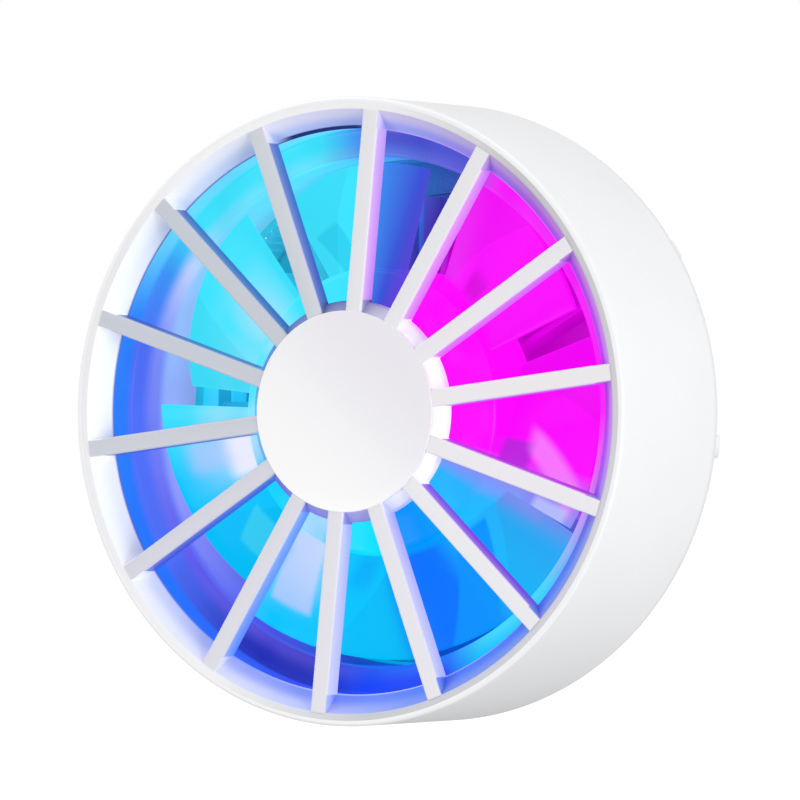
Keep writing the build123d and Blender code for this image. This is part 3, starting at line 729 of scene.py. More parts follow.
@dataclass(frozen=True)
class LitPlastic(Finish):
    """Clear plastic with the coloured light of the lamps round the fan painted into its colour and glow."""

    light: Wheel
    glow: float = 0.9
    body: float = 0.08
    roughness: float = 0.3
    gloss: float = 0.25
    grain: float = 0.3
    grain_depth: float = 0.003
    patch: float = 6.0
    patch_detail: float = 1.0
    patch_low: float = 0.9
    patch_swing: float = 0.16

    def hue(self, board: SurfaceBoard) -> bpy.types.NodeSocket:
        """Colour of the light over the surface."""
        return board.round_values()[1].round_the_fan(self.light)

    def level(self, board: SurfaceBoard) -> Signal:
        """Brightness of the light over the surface, as a share that is uneven in patches."""
        return board.noise(self.patch, self.patch_detail) * self.patch_swing + self.patch_low

    def dress(self, board: SurfaceBoard) -> None:
        """Sets a glowing surface with little colour of its own.

        Args:
            board: Node tree of the material.
        """
        hue = board.dimmed(self.hue(board), self.level(board).math("MINIMUM", 1.0))
        board.surface(base_color=board.dimmed(hue, self.body),
                      roughness=board.noise(2.0) * 0.1 + self.roughness,
                      specular_ior_level=self.gloss, emission_color=hue, emission_strength=self.glow)
        board.relief(board.noise(self.grain, 2.0), self.grain_depth)


@dataclass(frozen=True)
class LitGuide(LitPlastic):
    """Light guide with its own wheels of painted light and shade in the duct and on the collar in front of
    the shelf.
    """

    inner: Wheel = SHELF_INNER_LIGHT
    collar: Wheel = COLLAR_LIGHT
    duct: Wheel = DUCT_LIGHT
    shelf_front: float = 21.4
    collar_blend: Point = (-0.2, 1.2)
    duct_radius: float = 26.4
    shelf_blend: Point = (-0.2, 1.6)
    duct_soft: float = 0.3
    duct_blend: Point = (19.0, 21.0)
    dim_depth: float = 13.0
    bright_depth: float = 18.0
    dim_level: float = 0.8
    patch: float = 5.0
    patch_low: float = 0.88
    patch_swing: float = 0.2

    def hue(self, board: SurfaceBoard) -> bpy.types.NodeSocket:
        """Painted light and shade of the duct, of the shelf from its inner edge outwards, and of the collar.

        Args:
            board: Node tree of the material.

        Returns:
            The colour's socket.
        """
        radius, turn, depth = board.round_values()
        outwards = radius.ramp(*(self.duct_radius + reach for reach in self.shelf_blend))
        shelf = board.blend(outwards, turn.round_the_fan(self.inner), turn.round_the_fan(self.light))
        forward = depth.ramp(*(self.shelf_front + reach for reach in self.collar_blend))
        front = board.blend(forward, shelf, turn.round_the_fan(self.collar))
        in_duct = 1.0 - radius.ramp(self.duct_radius - self.duct_soft, self.duct_radius)
        in_duct = in_duct * (1.0 - depth.ramp(*self.duct_blend))
        return board.blend(in_duct, front, turn.round_the_fan(self.duct))

    def level(self, board: SurfaceBoard) -> Signal:
        """Brightness over the surface, with painted shade that makes it a little less deep in the duct.

        Args:
            board: Node tree of the material.

        Returns:
            The share over the surface.
        """
        _, _, depth = board.round_values()
        shown = depth.ramp(self.dim_depth, self.bright_depth).between(self.dim_level, 1.0)
        return super().level(board) * shown


@dataclass(frozen=True)
class Facet:
    """Patch of painted light of another colour, where light is broken in the clear blades.

    It lies between two angles in degrees and two radii in millimetres. It leans by its sweep, in degrees for
    each millimetre outwards, about a middle radius.
    """

    first: float
    last: float
    inner: float
    outer: float
    colour: Colour
    strength: float = 0.8
    sweep: float = 0.0
    soft: float = 0.35
    middle: float = 20.0

    def mask(self, radius: Signal, turn: Signal) -> Signal:
        """Share of this colour over the blades.

        Args:
            radius: Distance from the axis in millimetres.
            turn: Angle as a share of a turn.

        Returns:
            The share from 0 to 1.
        """
        swept = turn * FULL_TURN
        if self.sweep:
            swept = swept + (radius - self.middle) * self.sweep
        across = swept.band(self.first, self.last, self.soft * 2.0)
        return across * radius.band(self.inner, self.outer, self.soft) * self.strength


FACETS: Tuple[Facet, ...] = (
    Facet(236.0, 247.5, 14.8, 22.6, srgb(184, 200, 250), 0.72, sweep=-0.4, soft=0.45),
    Facet(298.0, 310.0, 15.4, 26.0, srgb(2, 146, 255), 0.9, sweep=1.3),
    Facet(280.0, 306.0, 9.0, 15.2, srgb(0, 152, 252), 0.8),
    Facet(250.0, 276.0, 9.0, 14.8, srgb(14, 226, 250), 0.85),
    Facet(255.0, 261.5, 14.8, 18.5, srgb(0, 150, 244), 0.45, sweep=0.8, soft=1.2),
    Facet(213.0, 221.0, 18.5, 22.5, srgb(64, 216, 247), 0.7, sweep=-1.2),
    Facet(204.0, 238.0, 9.0, 14.8, srgb(24, 214, 247), 0.7),
    Facet(188.0, 202.0, 14.9, 18.6, srgb(240, 238, 255), 0.95, soft=1.2),
    Facet(188.0, 197.0, 18.0, 23.0, srgb(176, 186, 250), 0.55, soft=1.3),
    Facet(340.0, 350.0, 14.9, 18.4, srgb(172, 40, 214), 0.8, soft=0.5),
    Facet(343.0, 351.0, 18.0, 25.0, srgb(247, 140, 250), 0.65, sweep=1.9, soft=1.0),
    Facet(325.0, 337.0, 14.9, 19.6, srgb(130, 158, 247), 0.6, soft=0.9),
    Facet(331.5, 336.0, 20.6, 24.6, srgb(196, 202, 251), 0.7, soft=0.5),
    Facet(46.0, 55.0, 15.2, 17.8, srgb(200, 0, 204), 0.6, soft=0.9),
    Facet(107.0, 118.0, 15.0, 20.5, srgb(34, 200, 236), 0.6, sweep=-1.5),
)


@dataclass(frozen=True)
class LitBlades(LitPlastic):
    """Blades with faint edges of what lies behind them, painted broken light, painted shade along each blade
    and patches of painted highlight.
    """

    copies: int = 7
    ghost_place_share: float = 0.30
    ghost_sweep_share: float = 0.03
    ghost_hue_shift: float = 0.006
    ghost_strength: float = 0.5
    ghost_dimming: float = 0.07
    hub_radius: float = 14.7
    hub_blend: Point = (0.05, 0.4)
    blade_rear: float = 14.0
    blade_front: float = 20.5
    depth_dimming: float = 0.08
    painted_highlight: Tuple[Point, ...] = (
        (0, 0.0), (128, 0.0), (146, 0.5), (156, 0.15), (170, 0.3), (190, 0.5), (200, 0.4), (206, 0.0),
        (229, 0.0), (234, 0.4), (246, 0.5), (253, 0.0), (360, 0.0))
    painted_highlight_radii: Point = (15.5, 24.5)
    painted_highlight_patch: float = 5.0
    painted_highlight_colour: Colour = srgb(228, 232, 253)

    def painted_highlight_level(self, board: SurfaceBoard) -> Signal:
        """Share of a painted white highlight, strongest near the hub.

        Args:
            board: Node tree of the material.

        Returns:
            The share over the surface.
        """
        radius, turn, _ = board.round_values()
        grey = turn.stops([(angle / FULL_TURN, (level,) * 3) for angle, level in self.painted_highlight])
        level = Signal(board, board.add("ShaderNodeSeparateColor", None, {0: grey}).outputs[0])
        near_hub = 1.0 - radius.ramp(*self.painted_highlight_radii)
        return level * near_hub * board.noise(self.painted_highlight_patch, 1.0).ramp(0.2, 0.6)

    def ghost(self, board: SurfaceBoard) -> Signal:
        """Rises from 0 to 1 and starts anew at each faint edge."""
        radius, turn, _ = board.round_values()
        return (turn * self.copies + radius * self.ghost_sweep_share + self.ghost_place_share).math("FRACT")

    def on_blade(self, radius: Signal) -> Signal:
        """1 on the blades and 0 on the hub."""
        return radius.ramp(*(self.hub_radius + reach for reach in self.hub_blend))

    def hue(self, board: SurfaceBoard) -> bpy.types.NodeSocket:
        """Painted light of the blades, shifted where something lies behind them, with painted facets of
        broken light and painted highlights.

        Args:
            board: Node tree of the material.

        Returns:
            The colour's socket.
        """
        radius, turn, _ = board.round_values()
        sector = board.slanted_turn()
        behind = (sector + self.ghost_hue_shift).math("FRACT")
        seen = (1.0 - self.ghost(board)).ramp(0.0, 1.0) * self.on_blade(radius) * self.ghost_strength
        hue = board.blend(seen, sector.round_the_fan(self.light), behind.round_the_fan(self.light))
        for facet in FACETS:
            hue = board.blend(facet.mask(radius, turn), hue, facet.colour)
        return board.blend(self.painted_highlight_level(board), hue, self.painted_highlight_colour)

    def level(self, board: SurfaceBoard) -> Signal:
        """Brightness with painted shade: a soft gradient that starts anew at each faint edge, and dimmer
        towards the blades' rear.

        Args:
            board: Node tree of the material.

        Returns:
            The share over the surface.
        """
        radius, _, depth = board.round_values()
        rearward = (1.0 - depth.ramp(self.blade_rear, self.blade_front)) * self.depth_dimming
        return 1.0 - self.on_blade(radius) * ((1.0 - self.ghost(board)) * self.ghost_dimming + rearward)


@dataclass(frozen=True)
class LitFrame(LitPlastic):
    """Moulded plastic deep inside, with some of the light painted on it as colour and glow."""

    patch: float = 3.0
    patch_detail: float = 2.0
    patch_low: float = 0.6
    patch_swing: float = 0.3

    def hue(self, board: SurfaceBoard) -> bpy.types.NodeSocket:
        """Colour of the light that falls in slantwise."""
        return board.slanted_turn().round_the_fan(self.light)


@dataclass(frozen=True)
class LitMouldedWhite(Finish):
    """White moulding whose walls, boss and cone carry the painted colours of the light behind it, and whose
    faces carry painted shade.

    Lengths are in millimetres. The two painted shadows are thin dark lines between two angles in degrees.
    """

    front: float
    throat_radius: float = 28.9
    ring_radius: float = 30.75
    boss_radius: float = 11.5
    depth: float = 2.2
    face: float = 0.42
    cone_lip: Point = (0.12, 0.02)
    edge_soft: float = 0.1
    glow: float = 0.3
    cone_glow_share: float = 0.35
    wall_front_share: float = 0.75
    boss_shadow: Point = (78.0, 170.0)
    boss_shadow_soft: float = 0.02
    boss_shadow_depth: Point = (0.8, 0.9)
    throat_shadow: Point = (87.5, 106.5)
    throat_shadow_soft: float = 0.006
    throat_line_width: float = 0.25
    throat_line_soft: float = 0.06
    shadow_colour: Colour = srgb(22, 40, 104)
    roughness: float = 0.36
    cloud: float = 9.0
    grain: float = 0.12
    grain_depth: float = 0.003

    def dress(self, board: SurfaceBoard) -> None:
        """Sets white faces with painted shade, and paints the light's colours and glow on all that slopes or
        stands back.

        Args:
            board: Node tree of the material.
        """
        radius, turn, depth = board.round_values()
        soft = self.edge_soft
        behind = 1.0 - depth.ramp(self.front - self.face, self.front - self.face / 3)
        on_cone = radius.step(self.throat_radius, soft)
        on_boss = 1.0 - radius.step(self.boss_radius, soft)
        deep = 1.0 - depth.ramp(self.front - self.depth, self.front)
        cone = board.blend(deep.ramp(0.1, 0.9), turn.round_the_fan(CONE_FRONT_LIGHT),
                           turn.round_the_fan(CONE_LIGHT))
        hue = board.blend(on_cone, turn.round_the_fan(WALL_LIGHT), cone)
        hue = board.blend(on_boss, hue, turn.round_the_fan(BOSS_LIGHT))
        # Painted shadows: thin dark lines at the rear of the boss and at the throat.
        boss_line = on_boss * deep.ramp(*self.boss_shadow_depth)
        boss_line = boss_line * turn.band(*(angle / FULL_TURN for angle in self.boss_shadow),
                                          self.boss_shadow_soft)
        throat_line = radius.band(self.throat_radius - soft, self.throat_radius + self.throat_line_width,
                                  self.throat_line_soft)
        throat_line = throat_line * turn.band(*(angle / FULL_TURN for angle in self.throat_shadow),
                                              self.throat_shadow_soft)
        hue = board.blend(boss_line + throat_line, hue, self.shadow_colour)
        # The moulding glows where the light's colours are painted on: painted light.
        cone_edge = 1.0 - radius.step(self.ring_radius, soft / 2)
        share = on_cone * cone_edge * (1.0 - depth.ramp(*(self.front - lip for lip in self.cone_lip)))
        share = share + (1.0 - on_cone) * behind * deep.between(self.wall_front_share, 1.0)
        share = share.math("MAXIMUM", throat_line * behind)
        glow = share * (1.0 - on_cone * (1.0 - self.cone_glow_share))
        cloud = board.noise(self.cloud, 3.0)
        # The faces' greys change round the fan: painted shade.
        on_ring = radius.ramp(self.ring_radius - soft, self.ring_radius)
        face = board.blend(on_ring, turn.round_the_fan(FACE_LIGHT), turn.round_the_fan(RING_LIGHT))
        white = board.dimmed(face, cloud.between(0.98, 1.0))
        board.surface(base_color=board.blend(share, white, hue), roughness=cloud * 0.08 + self.roughness,
                      specular_ior_level=0.4, emission_color=board.dimmed(hue, glow),
                      emission_strength=self.glow)
        board.relief(board.noise(self.grain, 3.0), self.grain_depth)


@dataclass(frozen=True)
class CapPlastic(Finish):
    """Satin white plastic of the centre cap, with painted shade that makes it a little greyer towards the
    upper right.
    """

    colour: Colour = srgb(255, 254, 255)
    painted_shade_colour: Colour = srgb(240, 238, 244)
    reach: float = 11.0
    cloud: float = 6.0
    grain: float = 0.12
    grain_depth: float = 0.003

    def dress(self, board: SurfaceBoard) -> None:
        """Sets a satin surface with painted shade, a slow change of tone across it.

        Args:
            board: Node tree of the material.
        """
        x, _, z = board.axis_values()
        across = ((x + z) / MM).ramp(-self.reach, self.reach)
        board.surface(base_color=board.blend(across, self.colour, self.painted_shade_colour),
                      roughness=board.noise(self.cloud, 2.0) * 0.08 + 0.3,
                      coat_weight=0.2, coat_roughness=0.25)
        board.relief(board.noise(self.grain, 3.0), self.grain_depth)


# A spill paints the lamps' light on a finish, in its colour and as a glow.
FINISHES: Dict[str, Finish] = {finish.name: finish for finish in (
    MouldedPlastic("white_shell_plastic", srgb(247, 248, 250), spill=Spill(0.8, reach=28.3)),
    LitMouldedWhite("white_grille_plastic", depth_of("front_grille")),
    LitGuide("frosted_light_guide", SHELF_LIGHT, 0.95),
    LitBlades("clear_blade_plastic", BLADE_LIGHT, 1.0, 0.05, 0.3, 0.15),
    LitFrame("inner_frame_plastic", DEEP_LIGHT, 0.9),
    CircuitBoard("white_board", srgb(226, 229, 226), spill=Spill(0.8)),
    CircuitBoard("dark_board", srgb(20, 44, 104), spill=Spill(1.2)),
    Resin("chip_resin", srgb(30, 30, 33), spill=Spill(0.55)),
    LitPlastic("led_package", SHELF_LIGHT, 2.0, 0.5, 0.2),
    Metal("bright_steel", srgb(214, 216, 220), mark_depth=0.001, spill=Spill(0.8)),
    Metal("electrical_steel", srgb(150, 152, 156), 0.4, (1.0, 12.0, 1.0)),
    TurnedMetal("brass", srgb(222, 186, 110)),
    TurnedMetal("oil_filled_bronze", srgb(176, 128, 82), 0.38),
    Winding("enamelled_copper", srgb(206, 118, 66)),
    Resin("ferrite", srgb(58, 58, 61), 0.5, spill=Spill(0.5)),
    Metal("plated_magnet", srgb(206, 204, 200), 0.2, spill=Spill(0.6)),
    Metal("anodised_aluminium", srgb(186, 190, 198), 0.4, (1.0, 1.0, 8.0), spill=Spill(0.85)),
    Resin("alumina", srgb(238, 238, 236), 0.7),
    Metal("pellet_alloy", srgb(120, 120, 128), 0.45),
    Foam("black_foam", srgb(40, 40, 43)),
    SoftRubber("grey_film", srgb(168, 172, 180)),
    SoftRubber("grip_silicone", srgb(226, 228, 231), 0.66),
    MouldedPlastic("nylon", srgb(226, 222, 206), 0.5),
    SoftRubber("lead_sheath", srgb(34, 34, 37), 0.6, spill=Spill(0.6)),
    SoftRubber("power_lead_sheath", srgb(176, 28, 26), 0.6, spill=Spill(0.6)),
    Metal("capacitor_can", srgb(208, 210, 214), 0.22, spill=Spill(0.6)),
    Metal("plated_socket", srgb(198, 199, 202), 0.24, (6.0, 1.0, 1.0), spill=Spill(1.2)),
    Resin("thermistor_bead", srgb(28, 34, 60), 0.3),
)}


def at(x: float, depth: float, z: float) -> Vector:
    """Point in metres from millimetres, with its distance forward from the contact face as depth."""
    return Vector((x, -depth, z)) * MM


def place_of(radius: float, angle: float, depth: float) -> Vector:
    """Place in metres of a point given in millimetres round the fan's axis.

    Args:
        radius: Distance from the axis.
        angle: Angle in degrees from +X, counter-clockwise as seen from the front.
        depth: Distance forward from the contact face.

    Returns:
        The point.
    """
    turn = math.radians(angle)
    return at(radius * math.cos(turn), depth, radius * math.sin(turn))


def softened(corners: Sequence[Tuple[float, float, float]], steps: int = 5) -> List[Point]:
    """Outline through corners that are each rounded by their own amount.

    Args:
        corners: First coordinate, second coordinate and rounding of each corner, in millimetres.
        steps: Stretches of each rounding.

    Returns:
        The outline's points.
    """
    points: List[Point] = []
    for index, (first, second, soft) in enumerate(corners):
        corner = Vector((first, second))
        if not soft:
            points.append((first, second))
            continue
        before = (Vector(corners[index - 1][:2]) - corner).normalized() * soft
        after = (Vector(corners[(index + 1) % len(corners)][:2]) - corner).normalized() * soft
        for step in range(steps + 1):
            share = step / steps
            points.append(tuple(corner + before * (1 - share) ** 2 + after * share ** 2))
    return points


def slab(half: float, low: float, high: float, low_soft: float, high_soft: float,
         steps: int = 5) -> List[Point]:
    """Rounded rectangle, centred in its first coordinate.

    Args:
        half: Half of its width.
        low: Its lower end in the second coordinate.
        high: Its upper end.
        low_soft: Rounding of the lower corners.
        high_soft: Rounding of the upper corners.
        steps: Stretches of each rounding.

    Returns:
        The outline's points.
    """
    return softened([(-half, low, low_soft), (half, low, low_soft),
                     (half, high, high_soft), (-half, high, high_soft)], steps)


class Shape:
    """A mesh in the making."""

    SHARP_ANGLE = 32.0

    def __init__(self) -> None:
        """Starts empty."""
        self.data = bmesh.new()

    def revolve(self, outline: Sequence[Point], steps: int = 192) -> "Shape":
        """Turns a closed outline about the fan's axis.

        Args:
            outline: Radius and depth of its points; it may start and end on the axis instead of closing.
            steps: Stretches of a whole turn.

        Returns:
            This shape.
        """
        rings = []
        for radius, depth in outline:
            count = steps if radius else 1
            rings.append([self.data.verts.new(place_of(radius, FULL_TURN * i / count, depth))
                          for i in range(count)])
        following = rings[1:] + (rings[:1] if outline[0][0] else [])
        for ring, other in zip(rings, following):
            for i in range(steps):
                corners = [ring[i % len(ring)], ring[(i + 1) % len(ring)],
                           other[(i + 1) % len(other)], other[i % len(other)]]
                self.data.faces.new(dict.fromkeys(corners))
        return self

    def skin(self, sections: Sequence[Sequence[Vector]], ring: bool = False) -> "Shape":
        """Joins closed sections in a row.

        Args:
            sections: Points of each section, all of one count.
            ring: Whether the last section joins the first, instead of both ends being closed.

        Returns:
            This shape.
        """
        rings = [[self.data.verts.new(point) for point in section] for section in sections]
        count = len(rings[0])
        for one, other in zip(rings, rings[1:] + rings[:ring]):
            for i in range(count):
                j = (i + 1) % count
                self.data.faces.new((one[i], one[j], other[j], other[i]))
        if not ring:
            self.data.faces.new(rings[0])
            self.data.faces.new(rings[-1][::-1])
        return self

    def join(self, mesh: bpy.types.Mesh) -> "Shape":
        """Adds a finished mesh."""
        self.data.from_mesh(mesh)
        return self

    def mesh(self, name: str) -> bpy.types.Mesh:
        """Closes the shape into a mesh with smooth faces and sharp edges.

        Args:
            name: Name of the mesh.

        Returns:
            The mesh.
        """
        bmesh.ops.recalc_face_normals(self.data, faces=self.data.faces)
        mesh = bpy.data.meshes.new(name)
        self.data.to_mesh(mesh)
        self.data.free()
        mesh.polygons.foreach_set("use_smooth", [True] * len(mesh.polygons))
        mesh.set_sharp_from_angle(angle=math.radians(self.SHARP_ANGLE))
        return mesh


def linked(name: str, data: bpy.types.ID) -> bpy.types.Object:
    """A new object in the scene, with its data.

    Args:
        name: Name of the object.
        data: Its mesh, curve or other data.

    Returns:
        The object.
    """
    piece = bpy.data.objects.new(name, data)
    bpy.context.collection.objects.link(piece)
    return piece


def plain_mesh(piece: bpy.types.Object) -> bpy.types.Mesh:
    """The object's mesh with its modifiers applied."""
    evaluated = piece.evaluated_get(bpy.context.evaluated_depsgraph_get())
    return bpy.data.meshes.new_from_object(evaluated)


class CopyTree(NodeBoard):
    """Geometry Nodes that set copies of a mesh round the fan's axis or in a row."""

    SOCKETS = (
        ("Copies", "NodeSocketInt"), ("First Angle", "NodeSocketFloat"), ("Angle Step", "NodeSocketFloat"),
        ("Start", "NodeSocketVector"), ("Pitch", "NodeSocketVector"), ("Finish", "NodeSocketMaterial"),
    )

    def __init__(self) -> None:
        """Builds the tree."""
        super().__init__(bpy.data.node_groups.new("copies", "GeometryNodeTree"))
        face = self.tree.interface
        face.new_socket("Mesh", in_out="INPUT", socket_type="NodeSocketGeometry")
        self.keys = {name: face.new_socket(name, in_out="INPUT", socket_type=kind).identifier
                     for name, kind in self.SOCKETS}
        face.new_socket("Mesh", in_out="OUTPUT", socket_type="NodeSocketGeometry")
        given = self.add("NodeGroupInput").outputs
        index = Signal(self, self.add("GeometryNodeInputIndex").outputs[0])
        angle = index * Signal(self, given["Angle Step"]) + Signal(self, given["First Angle"])
        along = self.vector("SCALE", {0: given["Pitch"], "Scale": index})
        place = self.vector("ADD", {0: given["Start"], 1: along})
        points = self.add("GeometryNodePoints", None, {"Count": given["Copies"], "Position": place})
        turn = self.add("ShaderNodeCombineXYZ", None, {"Y": 0.0 - angle}).outputs[0]
        copies = self.add("GeometryNodeInstanceOnPoints", None, {
            "Points": points.outputs[0], "Instance": given["Mesh"], "Rotation": turn})
        solid = self.add("GeometryNodeRealizeInstances", None, {0: copies.outputs[0]})
        dressed = self.add("GeometryNodeSetMaterial", None, {
            "Geometry": solid.outputs[0], "Material": given["Finish"]})
        self.add("NodeGroupOutput", None, {0: dressed.outputs[0]})

    def vector(self, operation: str, inputs: Mapping[Union[str, int], Feed]) -> bpy.types.NodeSocket:
        """Adds one Vector Math node and gives its result."""
        return self.add("ShaderNodeVectorMath", {"operation": operation}, inputs).outputs[0]

    def copies(self, mesh: bpy.types.Mesh, finish: bpy.types.Material, count: int, first_angle: float = 0.0,
               **extra: object) -> bpy.types.Mesh:
        """Copies of a mesh as one plain mesh.

        Args:
            mesh: The mesh to copy, built along +X.
            finish: Its material.
            count: Number of copies.
            first_angle: Angle of the first copy, in degrees.
            extra: Other inputs of the tree, with underscores for the spaces in their names.

        Returns:
            The joined copies.
        """
        values: Dict[str, object] = {
            "Copies": count, "First Angle": math.radians(first_angle), "Angle Step": math.tau / count,
            "Start": (0.0, 0.0, 0.0), "Pitch": (0.0, 0.0, 0.0), "Finish": finish,
        }
        values.update({name.replace("_", " ").title(): value for name, value in extra.items()})
        carrier = linked("carrier", mesh)
        modifier = carrier.modifiers.new("copies", "NODES")
        modifier.node_group = self.tree
        for name, key in self.keys.items():
            modifier[key] = values[name]
        result = plain_mesh(carrier)
        bpy.data.objects.remove(carrier)
        return result


class Workshop:
    """Hands out one material for each of the record's slots, and fits finished pieces."""

    def __init__(self) -> None:
        """Starts with no material made."""
        self.made: Dict[str, bpy.types.Material] = {}
        record = frame["record"]
        self.slot_of_node = {entry["node"]: entry["material_slot"] for entry in record["subparts"]}
        self.tree = CopyTree()

    def get(self, slot: str) -> bpy.types.Material:
        """The slot's material, made on first use.

        Args:
            slot: Name of the slot.

        Returns:
            The material.
        """
        if slot not in self.made:
            self.made[slot] = FINISHES[slot].material()
        return self.made[slot]

    def dress_node(self, node: str) -> None:
        """Gives a CAD node its own slot's material.

        Args:
            node: Name of the node.
        """
        piece = frame["nodes"][node]
        piece.data.materials.clear()
        piece.data.materials.append(self.get(self.slot_of_node[node]))
        LOG.info("dressed %s in %s", node, self.slot_of_node[node])

    def repeat(self, mesh: bpy.types.Mesh, slot: str, count: int, first_angle: float = 0.0,
               **extra: object) -> bpy.types.Mesh:
        """Copies of a mesh as one plain mesh, with the arguments of the tree and a slot for the material."""
        return self.tree.copies(mesh, self.get(slot), count, first_angle, **extra)

    def fit(self, name: str, mesh: bpy.types.Mesh, slot: str, *nodes: str, body: Body = Body.HOUSING,
            material: Optional[bpy.types.Material] = None) -> None:
        """Sets a piece in the scene on the body that carries it, with its slot's material unless it has its
        own, and hides the nodes that it replaces.

        Args:
            name: Name of the piece.
            mesh: Its mesh.
            slot: The record's slot that its finish comes from.
            nodes: CAD nodes that it replaces.
            body: The body that carries it.
            material: Its material, where it has one apart from the slot's.
        """
        mesh.materials.clear()
        mesh.materials.append(material or self.get(slot))
        piece = linked(name, mesh)
        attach(piece, body.value)
        if nodes:
            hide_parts(*nodes)
        LOG.info("%s: %d faces", name, len(mesh.polygons))


@dataclass
class Assembly:
    """A sub-assembly of the fan. Lengths and places are in millimetres, angles in degrees."""

    shop: Workshop

    def build(self) -> None:
        """Makes the sub-assembly's pieces; each kind has its own way."""
        raise NotImplementedError


@dataclass
class RoundedCopy(Assembly):
    """A CAD node again, with its sharp edges finely rounded."""

    node: str
    edge: float = 0.08
    steps: int = 2
    weld: float = 0.001
    flat_angle: float = 0.6
    edge_angle: float = 35.0

    def build(self) -> None:
        """Makes the rounded piece in place of its node."""
        shape = Shape().join(frame["nodes"][self.node].data)
        bmesh.ops.remove_doubles(shape.data, verts=shape.data.verts, dist=self.weld * MM)
        bmesh.ops.dissolve_limit(shape.data, angle_limit=math.radians(self.flat_angle),
                                 verts=shape.data.verts, edges=shape.data.edges)
        carrier = linked("carrier", shape.mesh(self.node))
        bevel = carrier.modifiers.new("edges", "BEVEL")
        bevel.width = self.edge * MM
        bevel.segments = self.steps
        bevel.limit_method = "ANGLE"
        bevel.angle_limit = math.radians(self.edge_angle)
        bevel.harden_normals = False
        mesh = plain_mesh(carrier)
        bpy.data.objects.remove(carrier)
        mesh.set_sharp_from_angle(angle=math.radians(self.edge_angle))
        self.shop.fit(f"{self.node}_rounded", mesh, self.shop.slot_of_node[self.node], self.node)


def rounded_bar(inner: float, outer: float, width: float, rear: float, front: float, soft: float = 0.15,
                curved: bool = False) -> bpy.types.Mesh:
    """Bar along +X with rounded long edges.

    Args:
        inner: Radius at which it starts.
        outer: Radius at which it ends.
        width: Its width.
        rear: Depth of its rear face.
        front: Depth of its front face.
        soft: Rounding of its edges.
        curved: Whether its ends follow circles about the fan's axis.

    Returns:
        The bar's mesh.
    """
    half = width / 2
    middle = (rear + front) / 2
    section = slab(half, rear, front, soft, soft)

    def end(radius: float, inset: float) -> List[Vector]:
        """Section at one end, drawn in by an inset.

        Args:
            radius: Distance of the end from the axis.
            inset: How far it is drawn in.

        Returns:
            The points of the section.
        """
        share = 1 - inset / half
        return [at(math.sqrt(radius ** 2 - across ** 2) if curved else radius,
                   middle + (depth - middle) * share, across * share) for across, depth in section]
    ends = [end(inner, soft), end(inner + soft, 0), end(outer - soft, 0), end(outer, soft)]
    return Shape().skin(ends).mesh("bar")


